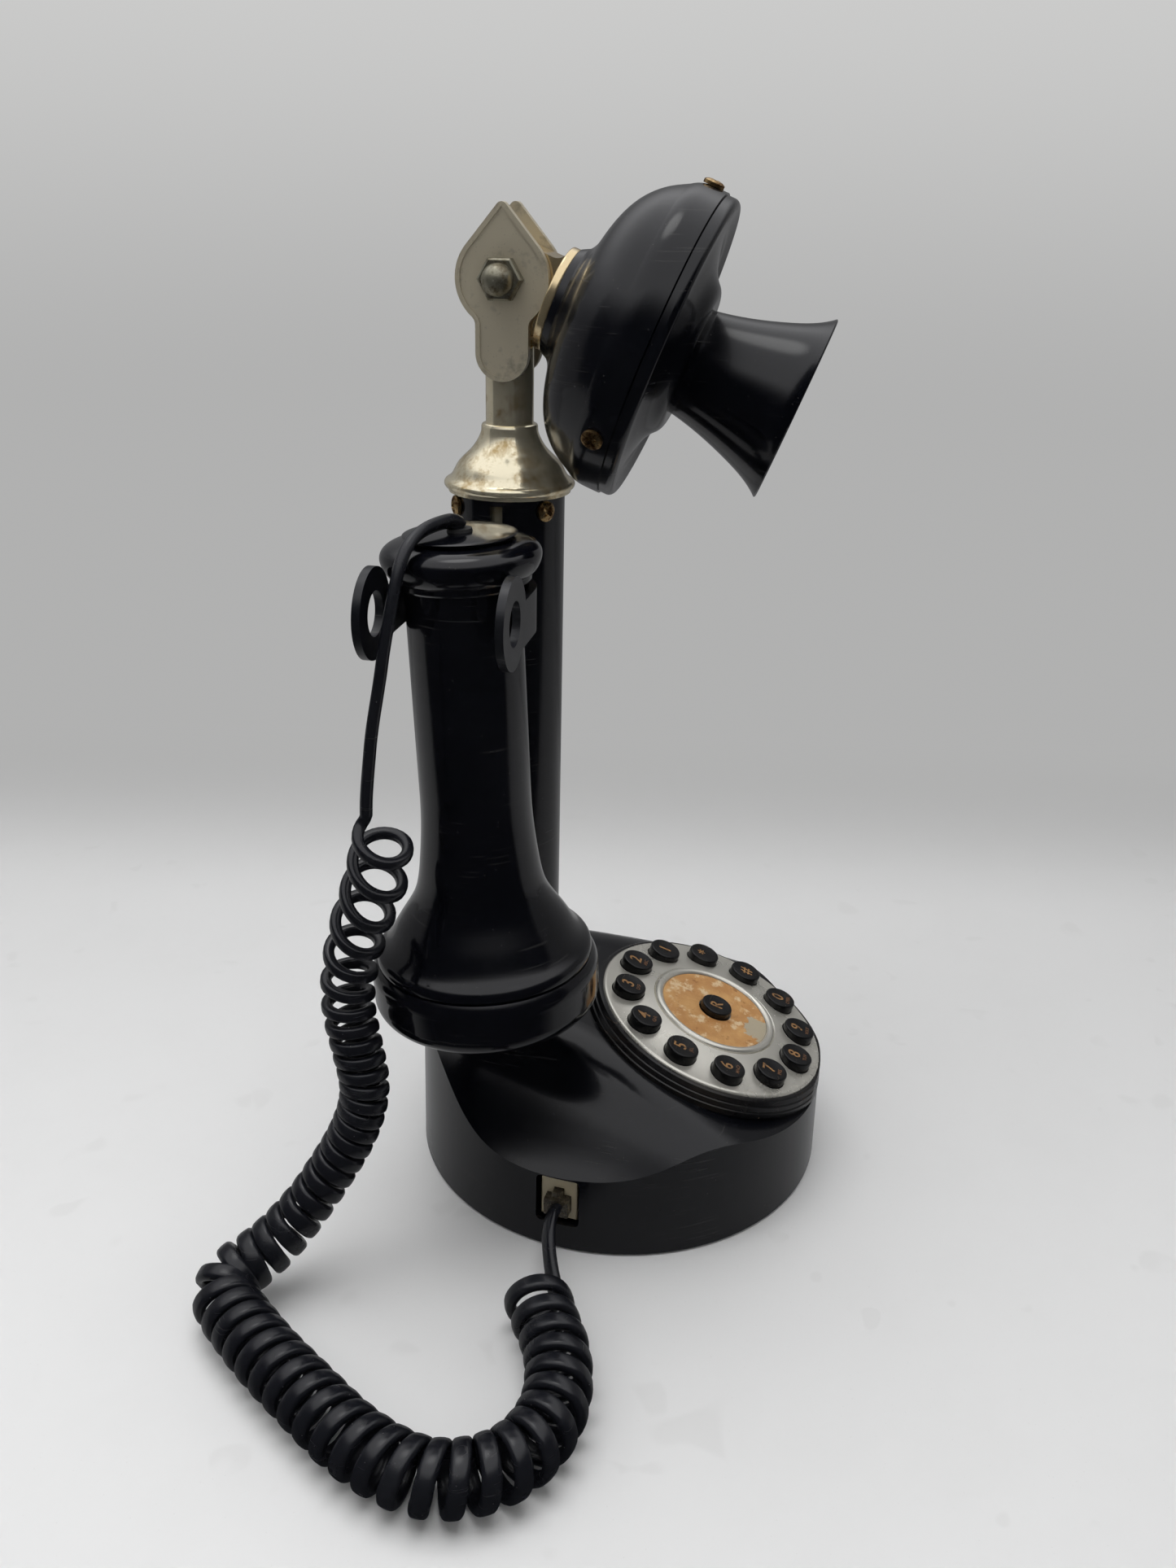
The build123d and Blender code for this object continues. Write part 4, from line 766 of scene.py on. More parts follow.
BLACK = Moulded("glossy black moulding", (0.0022, 0.0025, 0.004), 0.14, haze=(0.007, 0.0075, 0.01), coat=0.15,
                dust=0.3, scratches=0.2, dust_colour=(0.12, 0.115, 0.105), glass=1.42)
RECEIVER_BLACK = Moulded("receiver moulding", (0.002, 0.0022, 0.0036), 0.1, haze=(0.006, 0.0065, 0.009),
                         coat=0.3, dust=0.3, scratches=0.2, dust_colour=(0.12, 0.115, 0.105), glass=1.42)
BEZEL_BLACK = Moulded("bezel moulding", (0.005, 0.005, 0.006), 0.26, haze=(0.03, 0.022, 0.014), dust=0.9,
                      dust_colour=(0.16, 0.1, 0.05), smudges=0.6, scratches=0.3)
HOOK_BLACK = Moulded("hook moulding", (0.006, 0.0065, 0.009), 0.3, haze=(0.02, 0.021, 0.024), scratches=0.35,
                     dust=0.3)
KEY_BLACK = Moulded("key caps", (0.003, 0.003, 0.0036), 0.24, haze=(0.009, 0.008, 0.006), smudges=0.6,
                    scratches=0.3, dust_colour=(0.13, 0.1, 0.06), grain_scale=900.0, waviness=0.2, glass=1.4)
CORD_BLACK = Moulded("cord jacket", (0.0075, 0.008, 0.011), 0.24, haze=(0.018, 0.019, 0.023), dust=0.35,
                     scratches=0.15, dust_colour=(0.14, 0.135, 0.125), grain=0.00003, grain_scale=500.0,
                     waviness=0.3)
CREAM = Moulded("cream moulding", (0.36, 0.31, 0.21), 0.42, haze=(0.12, 0.085, 0.045), smudges=1.0, dust=0.9,
                dust_colour=(0.08, 0.055, 0.03))
RUBBER = Moulded("foot rubber", (0.02, 0.02, 0.02), 0.7, haze=(0.03, 0.03, 0.03), scratches=0.1)
PALE_RUBBER = Moulded("contact rubber", (0.25, 0.25, 0.26), 0.7, haze=(0.2, 0.2, 0.2))
BOARD = Moulded("circuit board", (0.02, 0.12, 0.05), 0.4, haze=(0.04, 0.16, 0.07))
UNDERSIDE = Moulded("underside plate", (0.012, 0.012, 0.014), 0.5, grain=0.00006, grain_scale=700.0,
                    waviness=0.1)
CHROME = Plated("warm chrome", (0.91, 0.83, 0.62), 0.08, tarnish=(0.5, 0.37, 0.18), tarnish_roughness=0.26,
                amount=0.5, scale=110.0, grain=0.00006, grain_scale=300.0, metallic=0.8)
NICKEL = Plated("worn nickel", (0.6, 0.54, 0.41), 0.38, tarnish=(0.33, 0.3, 0.23), tarnish_roughness=0.5,
                scale=90.0, scratches=0.25, grain_scale=900.0, dull=0.1, metallic=0.5)
GOLD = Plated("gold plating", (0.82, 0.66, 0.40), 0.1, tarnish=(0.4, 0.22, 0.08), amount=0.25, grain=0.00003,
              grain_scale=300.0, metallic=0.85)
DARK_STEEL = Plated("dark steel", (0.3, 0.285, 0.22), 0.3, tarnish=(0.15, 0.125, 0.08), tarnish_roughness=0.5,
                    amount=0.6, scale=240.0, grain=0.00005, metallic=0.8)
SCREW_BRASS = Plated("screw brass", (0.6, 0.42, 0.2), 0.25, tarnish=(0.13, 0.06, 0.02), tarnish_roughness=0.6,
                     amount=0.75, scale=420.0, grain=0.00004)
SILVER = Plated("silvered dial", (0.73, 0.71, 0.64), 0.26, tarnish=(0.5, 0.46, 0.38), tarnish_roughness=0.33,
                amount=0.16, scale=50.0, scratches=0.25, grain=0.000004, dull=0.08, metallic=0.7)
BRIGHT_STEEL = Plated("spring steel", (0.5, 0.5, 0.5), 0.3, amount=0.3)
CAST_IRON = Plated("cast weight", (0.2, 0.2, 0.2), 0.6, amount=0.5)
CAN_ALLOY = Plated("alloy can", (0.62, 0.62, 0.62), 0.35, amount=0.3)
CARD = Card("aged card", (0.52, 0.25, 0.08), 0.55)
DIGIT_INK = Clouded("digit print", (0.33, 0.17, 0.06), 0.5)
LETTER_INK = Clouded("letter print", (0.17, 0.075, 0.03), 0.5)
PLUG_CLEAR = Clouded("clear plug", (0.2, 0.165, 0.11), 0.15, other=(0.04, 0.028, 0.016), other_roughness=0.5,
                     scale=260.0, patches=(0.42, 0.7), transmission=0.75)
CONTACT_GOLD = Plated("contact gold", (0.9, 0.66, 0.25), 0.2, amount=0.2)


# ------------------------------------------------------------------ measures shared by the classes
TILT = math.radians(19.0)
DIAL = Axes((0.0, -69.814, 48.4), (0.0, -math.sin(TILT), math.cos(TILT)))
JACK = Axes((-64.714, -31.454, 17.8), (-0.99255, 0.12187, 0.0), (-0.12187, -0.99255, 0.0))
PLUG_DROP = -1.6
NOD = math.radians(21.5)
MOUTH = Axes((0.0, 0.0, 278.2), (0.0, -math.cos(NOD), -math.sin(NOD)), (0.0, -math.sin(NOD), math.cos(NOD)))


@dataclass
class Fastener:
    """A pan-head screw with a cross recess: its head is a height over a polar grid."""

    radius: float = 2.9
    height: float = 1.6
    dome: float = 0.42
    dome_power: float = 3.2
    shank_radius: float = 1.5
    shank: float = 4.0
    slot_half: float = 0.38
    slot_slope: float = 0.25
    slot_reach: float = 1.75
    slot_depth: float = 0.85
    steps: int = 112

    def surface(self, axes: Axes, twist: float) -> Surface:
        """The head and its shank.

        The head's top is h (1 - dome (r/R)^power); the recess takes away its depth where a point is
        near either arm of the cross, less towards the arms' ends.

        Args:
            axes: the head's seat, its z outwards.
            twist: how far the cross is turned, in degrees.

        Returns:
            The closed surface.
        """
        share = np.concatenate([np.linspace(0, 0.97, 26), [0.99, 1.0]])[:, None]
        radii = self.radius * share
        turn = np.arange(self.steps) * TURN / self.steps - math.radians(twist)
        a, b = np.abs(radii * np.cos(turn)), np.abs(radii * np.sin(turn))
        near = np.minimum(np.where(a < self.slot_reach, b, 9), np.where(b < self.slot_reach, a, 9))
        reach = np.maximum(a, b) / self.slot_reach
        cut = smooth((self.slot_half + 0.2 - near) / self.slot_slope) * (1 - 0.6 * np.clip(reach, 0, 1) ** 2)
        top = self.height * (1 - self.dome * share**self.dome_power)
        side = np.array([[self.radius, 0.0], [self.shank_radius, 0.0], [self.shank_radius, -self.shank],
                         [0, -self.shank]])
        rings = [polar(radii, np.minimum(top - self.slot_depth * cut, top), self.steps),
                 polar(side[:, :1], side[:, 1:], self.steps)]
        return grid(axes.place(np.concatenate(rings)))


def screw_heads(name: str, seats: Sequence[Axes], twist: Pair, body: Body, node: str) -> None:
    """Brass screws as one piece, in place of a CAD node.

    Args:
        name: the piece's name.
        seats: each screw's seat.
        twist: the first screw's turn and how far each next one is turned on, in degrees.
        body: the body that they ride on.
        node: the node.
    """
    heads = [Fastener().surface(seat, twist[0] + twist[1] * k) for k, seat in enumerate(seats)]
    finish_piece(make_piece(name, joined(heads)), SCREW_BRASS.build(), body.value, [node])


# ------------------------------------------------------------------ keypad
@dataclass
class Keypad:
    """Keys with printed tops in a ring round an aged card."""

    first_angle: float = 45.0
    pitch_radius: float = 30.6
    key_radius: float = 5.3
    edge_width: float = 0.75
    proud: float = 3.6
    redial_proud: float = 4.3
    dish: float = 0.32
    flange_radius: float = 6.6
    flange_top: float = -1.25
    flange_bottom: float = -2.65
    digit_size: float = 6.0
    digit_rise: float = 0.8
    letter_size: float = 1.75
    letter_rise: float = -2.75
    print_lift: float = 0.02
    card_inner: float = 5.75
    card_outer: float = 18.45
    card_level: float = 2.0
    card_thickness: float = 0.38
    card_steps: int = 160
    names: Sequence[str] = ("1", "2", "3", "4", "5", "6", "7", "8", "9", "0", "hash", "star")
    letters: Sequence[str] = ("", "ABC", "DEF", "GHI", "JKL", "MNO", "PRS", "TUV", "WXY", "OPER", "", "")
    glyphs: Sequence[str] = ("1", "2", "3", "4", "5", "6", "7", "8", "9", "0", "#", "*")

    def cap_profile(self, proud: float) -> Array:
        """A key from the middle of its dished top to the middle of its flange.

        Args:
            proud: how far the rim of its top stands above the plate.

        Returns:
            Points (radius, height); the top's height is proud - dish (1 - s^2).
        """
        share = np.linspace(0, 1, 9)
        edge = self.key_radius - self.edge_width
        top = np.column_stack([edge * share, proud - self.dish * (1 - share**2)])
        side = rounded([(edge, proud, 0), (self.key_radius - 0.04, proud, 0.62),
                        (self.key_radius, self.flange_top, 0.15), (self.flange_radius, self.flange_top, 0.2),
                        (self.flange_radius, self.flange_bottom, 0.2), (0, self.flange_bottom, 0)])
        return np.vstack([top, side])

    def print_on(self, kind: str, name: str, words: str, size: float, rise: float, axes: Axes,
                 ink: bpy.types.Material) -> None:
        """Lays small print on a key's dished top.

        Args:
            kind: what is printed.
            name: the key's name.
            words: the text.
            size: its size.
            rise: its place up the key.
            axes: the key's frame at its printed level.
            ink: the print's finish.
        """
        curve = bpy.data.curves.new("print", "FONT")
        curve.body, curve.size, curve.align_x, curve.align_y = words, size, "CENTER", "CENTER"
        curve.offset, curve.resolution_u = 0.012 * size, 4
        flat, faces = read_curve(curve)
        flat = flat + (0, rise, 0)
        reach = (flat[:, :2] ** 2).sum(1) / (self.key_radius - self.edge_width) ** 2
        flat[:, 2] = self.dish * reach
        mesh = bpy.data.meshes.new(f"key_{kind}_{name}")
        mesh.from_pydata((axes.place(flat) * MM).tolist(), [], faces)
        finish_piece(linked(mesh.name, mesh), ink, f"key_{name}")

    def build_keys(self) -> None:
        """Twelve keys round the ring and the one in the middle."""
        black, ink, faint = KEY_BLACK.build(), DIGIT_INK.build(), LETTER_INK.build()
        angles = math.radians(self.first_angle) + np.arange(12) * TURN / 12
        places = [(self.pitch_radius * math.cos(t), self.pitch_radius * math.sin(t)) for t in angles]
        table = [*zip(self.names, self.glyphs, self.letters, places), ("redial", "R", "", (0.0, 0.0))]
        for name, glyph, letters, (a, b) in table:
            proud = self.redial_proud if name == "redial" else self.proud
            made = make_piece(f"key_cap_{name}", revolved(self.cap_profile(proud), DIAL.at(a, b, 0), 64))
            finish_piece(made, black, f"key_{name}", [f"key_{name}"])
            level = DIAL.at(a, b, proud - self.dish + self.print_lift)
            rise = self.digit_rise if letters else 0.0
            self.print_on("print", name, glyph, self.digit_size, rise, level, ink)
            if letters:
                self.print_on("letters", name, letters, self.letter_size, self.letter_rise, level, faint)

    def build_card(self) -> None:
        """The card, slightly cockled, with a flat map of its own for the stains.

        The cockle is the size of 0.05 sin(a/2 + 1) cos(0.43 b) + 0.03 sin(5t) r/18, faded out at both rims.
        """
        radii = np.linspace(self.card_inner, self.card_outer, 30)[:, None]
        turn = np.arange(self.card_steps) * TURN / self.card_steps
        a, b = radii * np.cos(turn), radii * np.sin(turn)
        cockle = 0.05 * np.sin(0.5 * a + 1.0) * np.cos(0.43 * b) + 0.03 * np.sin(5 * turn) * (radii / 18)
        edge = smooth((radii - self.card_inner) / 1.5) * smooth((self.card_outer - radii) / 1.5)
        top = self.card_level + 0.02 + np.abs(cockle) * edge
        under = np.full((2, 1), self.card_level - self.card_thickness)
        rings = [polar(radii, top, self.card_steps), polar(radii[[-1, 0]], under, self.card_steps)]
        made = make_piece("aged_card", grid(DIAL.place(np.concatenate(rings)), wrap_rows=True))
        layer = made.data.uv_layers.new(name="card")
        corner = np.empty(len(made.data.loops), np.int32)
        made.data.loops.foreach_get("vertex_index", corner)
        across = (read_points(made.data) / MM - DIAL.origin) @ DIAL.basis().T
        flat = 0.5 + across[:, :2] / (2.1 * self.card_outer)
        layer.data.foreach_set("uv", flat[corner].ravel())
        finish_piece(made, CARD.build(), Body.STAND.value, ["number_card"])

    def build(self) -> None:
        """Makes the keypad's pieces and dresses the plate, its bezel and what lies under it."""
        self.build_keys()
        self.build_card()
        dress({SILVER: ["dial_plate", "card_ring"], BEZEL_BLACK: ["dial_bezel"], PALE_RUBBER: ["key_mat"],
               BOARD: ["keypad_board"]})


# ------------------------------------------------------------------ base
@dataclass
class Base:
    """The round base with its hill, the column's foot, both sockets and what the base holds."""

    contact_count: int = 4
    contact_pitch: float = 1.25
    contact_radius: float = 0.24
    contact_rise: float = 1.1
    contact_bend: Sequence[Pair] = ((1.9, -7.0), (2.1, -3.4), (0.9, -1.4), (0.2, -2.6), (-0.6, -5.8))
    contact_steps: int = 24
    blade_size: Triple = (0.42, 0.5, 4.6)
    blade_drop: float = -1.9
    blade_depth: float = -2.6

    def build_contacts(self) -> None:
        """Gold wires in the receiver's socket and the plug's blades beside them."""
        gold = CONTACT_GOLD.build()
        turn = np.arange(12) * TURN / 12
        section = self.contact_radius * np.column_stack([np.cos(turn), np.sin(turn)])
        bend = flowing(self.contact_bend, self.contact_steps)
        wires, blades = [], []
        for k in range(self.contact_count):
            shift = (k - (self.contact_count - 1) / 2) * self.contact_pitch
            path = np.column_stack([np.full(len(bend), shift), bend[:, 0] + PLUG_DROP + self.contact_rise,
                                    bend[:, 1]])
            wires.append(swept(JACK.place(path), section, JACK.basis()[0]))
            seat = JACK.at(shift, PLUG_DROP + self.blade_drop, self.blade_depth)
            blades.append(box(self.blade_size, seat, 0.1))
        for name, parts in (("socket_wires", wires), ("plug_blades", blades)):
            finish_piece(make_piece(name, joined(parts)), gold, Body.STAND.value)

    def build(self) -> None:
        """Makes the contacts and dresses the base's nodes."""
        self.build_contacts()
        dress({BLACK: ["base_housing", "column_tube"], CREAM: ["handset_jack", "line_jack"],
               PLUG_CLEAR: ["handset_plug"], RUBBER: ["base_feet"], UNDERSIDE: ["base_plate"],
               BRIGHT_STEEL: ["base_screws"], BOARD: ["main_board"], CAST_IRON: ["ballast_weight"],
               CAN_ALLOY: ["tone_ringer"]})


# ------------------------------------------------------------------ head of the column
@dataclass
class Head:
    """Collar, stem, yoke and the screws that hold the collar in the column."""

    column_radius: float = 16.2
    screw_height: float = 216.0
    screw_azimuths: Sequence[float] = (-144.0, -38.0, 89.0)
    screw_twist: Pair = (20, 31)

    def build(self) -> None:
        """Makes three screws round the column's top and dresses the metal."""
        ways = [(math.sin(t), -math.cos(t), 0.0) for t in map(math.radians, self.screw_azimuths)]
        seats = [Axes((way[0] * self.column_radius, way[1] * self.column_radius, self.screw_height), way,
                      (0.0, 0.0, 1.0)) for way in ways]
        screw_heads("column_screw_heads", seats, self.screw_twist, Body.STAND, "column_screws")
        dress({CHROME: ["column_collar", "stem_tube"], NICKEL: ["yoke_plate_near", "yoke_plate_far"],
               DARK_STEEL: ["yoke_bolt", "acorn_nut"]})


# ------------------------------------------------------------------ transmitter
@dataclass
class Transmitter:
    """The tilting shell with its horn."""

    seam_reach: float = 46.8
    screw_setback: float = 4.4
    shell_radius: float = 42.9
    screw_angles: Sequence[float] = (0.0, 122.0, -122.0)
    screw_twist: Pair = (12, 40)

    def build(self) -> None:
        """Makes screws square to the shell's straight band and dresses the shell, the horn and the knuckle."""
        ways = [(math.cos(t), math.sin(t), 0.0) for t in map(math.radians, self.screw_angles)]
        seats = [MOUTH.at(way[0] * self.shell_radius, way[1] * self.shell_radius,
                          self.seam_reach - self.screw_setback, z=way, x=(0, 0, 1)) for way in ways]
        screw_heads("rim_screw_heads", seats, self.screw_twist, Body.TRANSMITTER, "rim_screws")
        dress({BLACK: ["rear_shell", "front_bezel", "mouthpiece_horn"], GOLD: ["transmitter_knuckle"],
               CAN_ALLOY: ["mic_capsule"]})


# ------------------------------------------------------------------ receiver and hook
@dataclass
class Receiver:
    """The hanging receiver and the hook that it hangs in."""

    def build(self) -> None:
        """Dresses the receiver's and the hook's nodes."""
        dress({RECEIVER_BLACK: ["receiver_body", "receiver_cap", "ear_cap"], RUBBER: ["cord_grommet"],
               CAN_ALLOY: ["receiver_capsule"], HOOK_BLACK: ["hook_fork"],
               BRIGHT_STEEL: ["pivot_pin", "hook_spring"], UNDERSIDE: ["hook_switch"]})


# ------------------------------------------------------------------ studio
@dataclass
class Studio:
    """Pale floor with a swept backdrop, soft lamps and the camera; its sizes are in metres.

    What gloss mirrors is set apart from what is seen: in reflections the sheet is painted dark low down on the
    camera's side and a deep grey for its walls, and the ceiling is bright with one brighter patch.
    """

    camera_place: Triple = (-0.3939, -0.0977, 0.3010)
    heading: float = -79.61
    pitch: float = 23.39
    roll: float = 1.38
    lens: float = 42.08
    sensor: float = 36.0
    sight_share: Pair = (0.983, 0.18)
    # painted shade: the floor's colour darkens from floor_near to floor_far towards the back
    floor_near: Triple = (0.785, 0.785, 0.785)
    floor_far: Triple = (0.67, 0.67, 0.67)
    floor_wear: Triple = (0.3, 0.29, 0.27)
    floor_fade: Pair = (-0.15, 0.2)
    # painted light: the wall glows in wall_low, lighter towards wall_high higher up
    wall_low: Triple = (0.438, 0.438, 0.436)
    wall_high: Triple = (0.605, 0.605, 0.6)
    wall_fade: Pair = (0.12, 0.5)
    nearly_up: float = 0.99
    room_light: Triple = (0.5, 0.505, 0.52)
    # painted reflections: gloss sees the sheet glow in these tones, and dark_side is painted shade
    dark_side: Triple = (0.02, 0.021, 0.024)
    mirrored_wall: Triple = (0.18, 0.18, 0.183)
    mirrored_floor: float = 0.7
    ceiling: Triple = (1.0, 1.0, 1.02)
    bright_patch: Triple = (2.7, 2.7, 2.7)
    patch_way: Triple = (0.17, 0.12, 0.98)
    patch_edge: Pair = (0.965, 0.994)
    floor_edge: Pair = (0.14, 0.36)
    dark_edge: Pair = (-0.03, -0.16)
    ceiling_edge: Pair = (0.5, 1.1)
    reach: float = 0.66
    bend: float = 0.22
    rise: float = 0.1
    height: float = 1.9
    lamps: Sequence[tuple[str, Triple, Triple, Pair, float]] = (
        ("overhead", (0.0, 0.1, 1.1), (0, 0, 0.1), (0.9, 0.9), 8.7),
        ("left window", (-0.35, 0.85, 0.6), (0, 0, 0.15), (0.7, 0.9), 2.4),
        ("front fill", (-0.6, -0.9, 0.7), (0, 0, 0.15), (0.8, 0.8), 5.4))

    def camera(self) -> None:
        """The camera: its right and up directions are rolled about its line of sight."""
        turn, dip, roll = (math.radians(a) for a in (self.heading, self.pitch, self.roll))
        sight = np.array([-math.sin(turn) * math.cos(dip), math.cos(turn) * math.cos(dip), -math.sin(dip)])
        right = unit(np.cross(sight, (0, 0, 1)))
        up = np.cross(right, sight)
        level_right = right * math.cos(roll) + up * math.sin(roll)
        level_up = up * math.cos(roll) - right * math.sin(roll)
        lens = bpy.data.cameras.new("camera")
        lens.sensor_fit, lens.sensor_width, lens.lens = "HORIZONTAL", self.sensor, self.lens
        lens.clip_start = 0.01
        made = linked("camera", lens)
        turn_to(made, [level_right, level_up, -sight], self.camera_place)
        bpy.context.scene.camera = made

    def paper(self) -> bpy.types.Material:
        """The sheet's finish: a floor that takes shadows, with painted shade darkening it towards the back, and
        a wall that glows with painted light, lighter higher up.

        The wall takes over behind the telephone and above the floor. Gloss sees painted reflections on the
        sheet:
        it glows as the mirrored wall below and the ceiling above, and is painted dark low down on the camera's
        side.

        Returns:
            The material.
        """
        material, g, inputs, place = Finish("backdrop paper", self.floor_near, 0.4).start()
        parts = g.add("SeparateXYZ", {0: place}).outputs
        height = parts["Z"]
        behind = [g.times(parts[key], share) for key, share in zip("XY", self.sight_share)]
        behind = g.maths("ADD", *behind)
        marks = g.group(MARKS, {"Vector": place, "Scratches": 0.6, "Dust": 0.5, "Smudges": 1.0})
        worn = g.maths("ADD", g.times(marks["Scratch"], 0.12), g.times(marks["Smudge"], 0.025))
        worn = g.most(worn, g.times(marks["Dust"], 0.3))
        # painted shade: the floor is made darker towards the back
        floor = g.mix(g.step(behind, *self.floor_fade), shade(self.floor_near), shade(self.floor_far))
        floor = g.mix(worn, floor, shade(self.floor_wear))
        # painted light: the wall's tone, lighter higher up, is given to the camera as a glow
        wall = g.mix(g.step(height, *self.wall_fade), shade(self.wall_low), shade(self.wall_high))
        share = g.most(g.step(behind, *self.floor_edge), g.step(height, 0.0, self.rise))
        g.link(g.mix(share, floor, wall), inputs["Base Color"])
        ray = g.add("LightPath").outputs
        mirrored = g.most(ray["Is Glossy Ray"], ray["Is Transmission Ray"])
        seen = g.most(ray["Is Camera Ray"], mirrored)
        # painted reflections: gloss sees the sheet dark low down on the camera's side, glowing grey below and
        # bright above
        above = g.step(height, *self.ceiling_edge)
        low = g.times(mirrored, g.maths("SUBTRACT", 1.0, above))
        dark = g.times(low, g.step(behind, *self.dark_edge))
        tone = g.mix(mirrored, wall, g.mix(above, shade(self.mirrored_wall), shade(self.ceiling)))
        painted_glow = g.add("Emission", {"Color": g.mix(dark, tone, shade(self.dark_side)), "Strength": 1.0})
        cover = g.most(g.most(g.times(share, seen), dark), g.times(mirrored, self.mirrored_floor))
        lit = g.tree.nodes["Principled BSDF"].outputs[0]
        both = g.add("MixShader", {0: cover, 1: lit, 2: painted_glow.outputs[0]})
        g.link(both.outputs[0], g.tree.nodes["Material Output"].inputs["Surface"])
        return material

    def backdrop(self) -> None:
        """Floor and wall as one sheet, swept up in a quarter ellipse on all sides."""
        quarter = np.linspace(0, math.pi / 2, 12)[1:]
        edge = self.reach + self.bend
        out = np.concatenate([[0.0, self.reach], self.reach + self.bend * np.sin(quarter), [edge]])
        up = np.concatenate([[0.0, 0.0], self.rise * (1 - np.cos(quarter)), [self.height]])
        made = make_piece("backdrop", revolved(np.column_stack([out, up]) / MM, Axes((0.0, 0.0, 0.0)), 96))
        made.data.materials.append(self.paper())

    def lamp(self, name: str, place: Triple, aim: Triple, size: Pair, power: float) -> None:
        """A soft rectangular lamp that gloss doesn't show.

        Args:
            name: its name.
            place: where it stands.
            aim: what it faces.
            size: its width and height.
            power: its power in watts.
        """
        light = bpy.data.lights.new(name, "AREA")
        light.shape, light.size, light.size_y, light.energy = "RECTANGLE", *size, power
        made = linked(name, light)
        back = unit(np.array(place) - np.array(aim))
        right = unit(np.cross((0, 0, 1), back)) if back[2] < self.nearly_up else np.array([1.0, 0, 0])
        turn_to(made, [right, np.cross(back, right), back], place)
        made.visible_glossy = False

    def sky(self) -> None:
        """The room's own light; gloss sees a pale ceiling with one bright patch instead."""
        world = bpy.data.worlds.new("studio")
        world.use_nodes = True
        g = Graph(world.node_tree)
        place = g.add("TexCoord").outputs["Generated"]
        mirrored = g.add("LightPath").outputs["Is Glossy Ray"]
        way = tuple(unit(np.array(self.patch_way)))
        near = g.add("VectorMath", {0: place, 1: way}, operation="DOT_PRODUCT").outputs["Value"]
        colour = g.mix(g.step(near, *self.patch_edge), shade(self.ceiling), shade(self.bright_patch))
        background = g.tree.nodes["Background"]
        g.link(g.mix(mirrored, shade(self.room_light), colour), background.inputs["Color"])
        background.inputs["Strength"].default_value = 1.0
        bpy.context.scene.world = world

    def build(self) -> None:
        """Sets up the camera, the stage and the lamps."""
        self.camera()
        self.backdrop()
        for lamp in self.lamps:
            self.lamp(*lamp)
        self.sky()
        bpy.context.scene.view_settings.view_transform = "Standard"


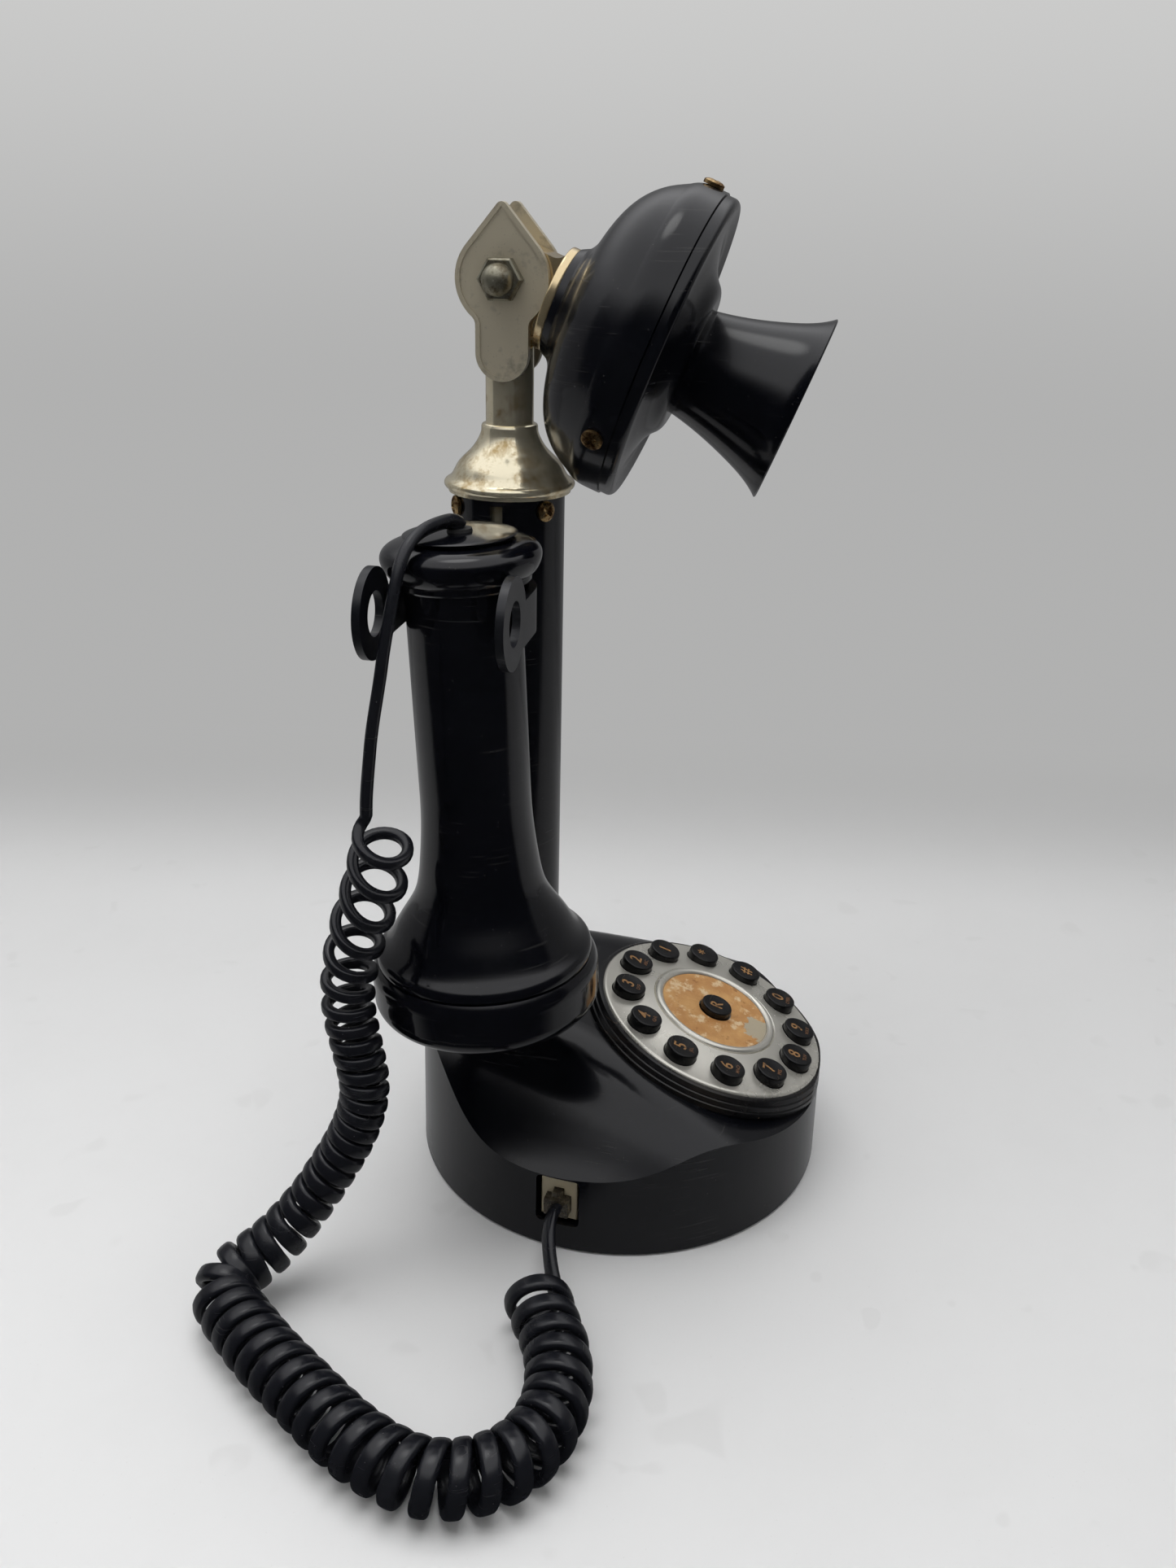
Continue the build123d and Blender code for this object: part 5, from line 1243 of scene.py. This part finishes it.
# ------------------------------------------------------------------ curly cord
@dataclass
class CurlyCord:
    """The receiver's cord: a straight lead, one long coil with open and close turns, and the jack's lead.

    The strand is flat with a crowned, faintly ribbed outer side. It is wound round the route's own smooth
    line C: place = C + r (cos p N + sin p B), where N and B are square to the line and the phase p falls
    with distance, because the coil is left-handed. Its breadth is given along the route, and the turns'
    spacing and radius from the coil's start on. The coil's first turns sag by a share of their radius,
    most on the side of sag_way.
    """

    width: float = 5.2
    breadths: Sequence[Pair] = (
        (0, 4.8), (38, 4.6), (62, 3.5), (96, 3.2), (150, 3.5), (185, 4.0), (225, 5.0), (260, 5.2), (470, 5.2))
    thickness: float = 3.2
    ribs: float = 0.12
    roundness: Pair = (0.75, 0.85)
    exit_point: Triple = (-50.5, 0.999, 219.19)
    lead_drift: float = 42.0
    coil_start: float = 95.0
    coil_end: float = 434.5
    start_ramp: float = 8.0
    end_ramp: float = 6.0
    tail_lead: float = 2.0
    tail_shrink: float = 26.0
    samples: int = 12000
    step: float = 1.5
    fullness: float = 0.97
    jack_phase: float = 0.52
    jack_reach: Pair = (10.4, 3.4)
    reference: Triple = (0.0, 0.7, 0.7)
    sag: float = 0.27
    sag_way: Triple = (-0.95, -0.3, 0.0)
    sag_end: Pair = (30, 45)
    turn_spacing: Sequence[Pair] = (
        (0, 9.0), (8, 9.4), (17, 11.4), (24, 12.2), (36, 11.6), (46, 10.4), (54, 8.4), (60, 6.8), (66, 5.6),
        (72, 4.9), (80, 4.5), (96, 4.2), (107, 4.8), (123, 5.9), (153, 6.2), (168, 6.0), (188, 6.6), (238, 7.0),
        (303, 6.9), (338, 7.4))
    turn_radius: Sequence[Pair] = (
        (0, 4.2), (5, 6.6), (10, 7.2), (30, 7.1), (48, 6.7), (64, 6.1), (92, 5.6), (128, 5.8), (151, 6.8),
        (163, 7.75), (322, 7.75), (334, 8.2))
    route: Sequence[Triple] = (
        (-51.3, 1.9, 221.5), (-57.5, 5.3, 221.4), (-64.5, 8.1, 220.4), (-72.0, 9.9, 216.6),
        (-77.4, 10.9, 206.0), (-81.2, 13.2, 190.0), (-83.0, 14.2, 175.0), (-83.6, 13.6, 161.0),
        (-83.2, 14.0, 147.0), (-80.6, 15.8, 132.0), (-77.4, 22.3, 117.0), (-76.4, 27.2, 101.0),
        (-78.8, 28.2, 88.0), (-81.0, 24.8, 75.0), (-82.8, 21.8, 62.0), (-85.3, 24.8, 49.5),
        (-88.8, 31.0, 37.5), (-94.0, 38.0, 26.0), (-101.5, 46.5, 16.0), (-109.5, 55.0, 11.4),
        (-117.0, 55.5, 9.6), (-125.5, 45.5, 9.6), (-134.5, 34.5, 9.6), (-145.0, 19.0, 9.6),
        (-157.5, 0.5, 9.6), (-164.0, -20.0, 9.6), (-156.0, -38.0, 9.6), (-138.5, -46.2, 9.6),
        (-118.5, -43.6, 9.8), (-102.0, -33.8, 10.2), (-89.25, -28.6, 10.3))

    def line(self) -> Array:
        """The route's smooth line, in line with the plug at its end, read off its spline with no bevel.

        Returns:
            Its points, in millimetres.
        """
        curve = bpy.data.curves.new("cord route", "CURVE")
        curve.dimensions = "3D"
        curve.resolution_u = 24
        spline = curve.splines.new("NURBS")
        jack_end = [JACK.place((0.0, PLUG_DROP, reach)) for reach in self.jack_reach]
        points = np.array([self.exit_point, *self.route, *jack_end], float)
        spline.points.add(len(points) - 1)
        spline.points.foreach_set("co", np.column_stack([points, np.ones(len(points))]).ravel())
        spline.order_u = 3
        spline.use_endpoint_u = True
        return read_curve(curve)[0]

    def wind(self) -> tuple[Array, Array, Array, Array]:
        """Winds the strand round the line, with a whole number of turns and jack_phase over.

        Returns:
            Its centre points, its width directions, its outward directions and its width at each point.
        """
        line = self.line()
        along = distances(line)
        at = np.linspace(0, along[-1], self.samples)
        centre = resample(at, along, line)
        forward = unit(np.gradient(centre, axis=0))
        normal = unit(np.array(self.reference) - (forward @ self.reference)[:, None] * forward)
        side = np.cross(forward, normal)
        inside = at - self.coil_start
        pitch = follow(self.turn_spacing, inside)
        entering = smooth(inside / self.start_ramp)
        leaving = 1 - smooth((at - self.coil_end + self.end_ramp) / self.end_ramp)
        turns = np.cumsum(entering * leaving / pitch) * (at[1] - at[0])
        wanted = round(turns[-1] - self.jack_phase) + self.jack_phase
        phase = -TURN * turns * wanted / turns[-1]
        radius = follow(self.turn_radius, inside) * smooth((inside + self.lead_drift) / self.lead_drift)
        radius = radius * (1 - smooth((at - self.coil_end + self.tail_lead) / self.tail_shrink))
        outward = np.cos(phase)[:, None] * normal + np.sin(phase)[:, None] * side
        around = -np.sin(phase)[:, None] * normal + np.cos(phase)[:, None] * side
        strand = centre + radius[:, None] * outward
        sagging = self.sag * radius * entering * (1 - smooth((inside - self.sag_end[0]) / self.sag_end[1]))
        strand[:, 2] -= sagging * (outward @ self.sag_way)
        run = distances(strand)
        log.info("cord route %.1f mm, strand %.1f mm in %.2f turns", along[-1], run[-1], wanted)
        keep = np.linspace(0, run[-1], int(run[-1] / self.step))
        place = resample(keep, run, strand)
        forward, around = (unit(resample(keep, run, way)) for way in (forward, around))
        tangent = unit(np.gradient(place, axis=0))
        wide = ((tangent * around).sum(-1, keepdims=True) * forward
                - (tangent * forward).sum(-1, keepdims=True) * around)
        wide = unit(wide - (wide * tangent).sum(-1, keepdims=True) * tangent)
        room = np.where(entering > 0.5, self.fullness * pitch, self.width)
        breadth = np.interp(keep, run, np.minimum(follow(self.breadths, at), room))
        return place, wide, np.cross(tangent, wide), breadth

    def section(self) -> Array:
        """The strand's section at unit width: a crowned flat with round edges and three faint ribs.

        It is the curve (|cos t|^p, |sin t|^q) / 2 with the signs of cos t and sin t.

        Returns:
            Points (share of the width, height).
        """
        turn = np.arange(26) * TURN / 26
        across, through = (0.5 * np.sign(way) * np.abs(way) ** power
                           for way, power in zip((np.cos(turn), np.sin(turn)), self.roundness))
        lift = self.thickness * through + self.ribs * np.cos(across * 3 * TURN) * np.clip(through, 0, 1)
        return np.column_stack([across, lift])

    def build(self) -> None:
        place, wide, out, breadth = self.wind()
        flat = self.section()
        rings = (place[:, None] + flat[None, :, :1] * (wide * breadth[:, None])[:, None]
                 + flat[None, :, 1:] * out[:, None])
        made = make_piece("curly_cord", tube(place, rings))
        made.data.materials.append(CORD_BLACK.build())
        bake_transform(made)
        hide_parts("receiver_lead", "coil_hanging", "coil_lying", "plug_lead")
        log.info("curly cord: %d faces", len(made.data.polygons))


def main() -> None:
    """Builds and dresses the whole telephone in its studio."""
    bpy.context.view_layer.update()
    Studio().build()
    CurlyCord().build()
    for part in (Base(), Keypad(), Head(), Transmitter(), Receiver()):
        part.build()
    log.info("pieces dressed")


if __name__ == "__main__":
    logging.basicConfig(level=logging.INFO, format="%(message)s")
    main()
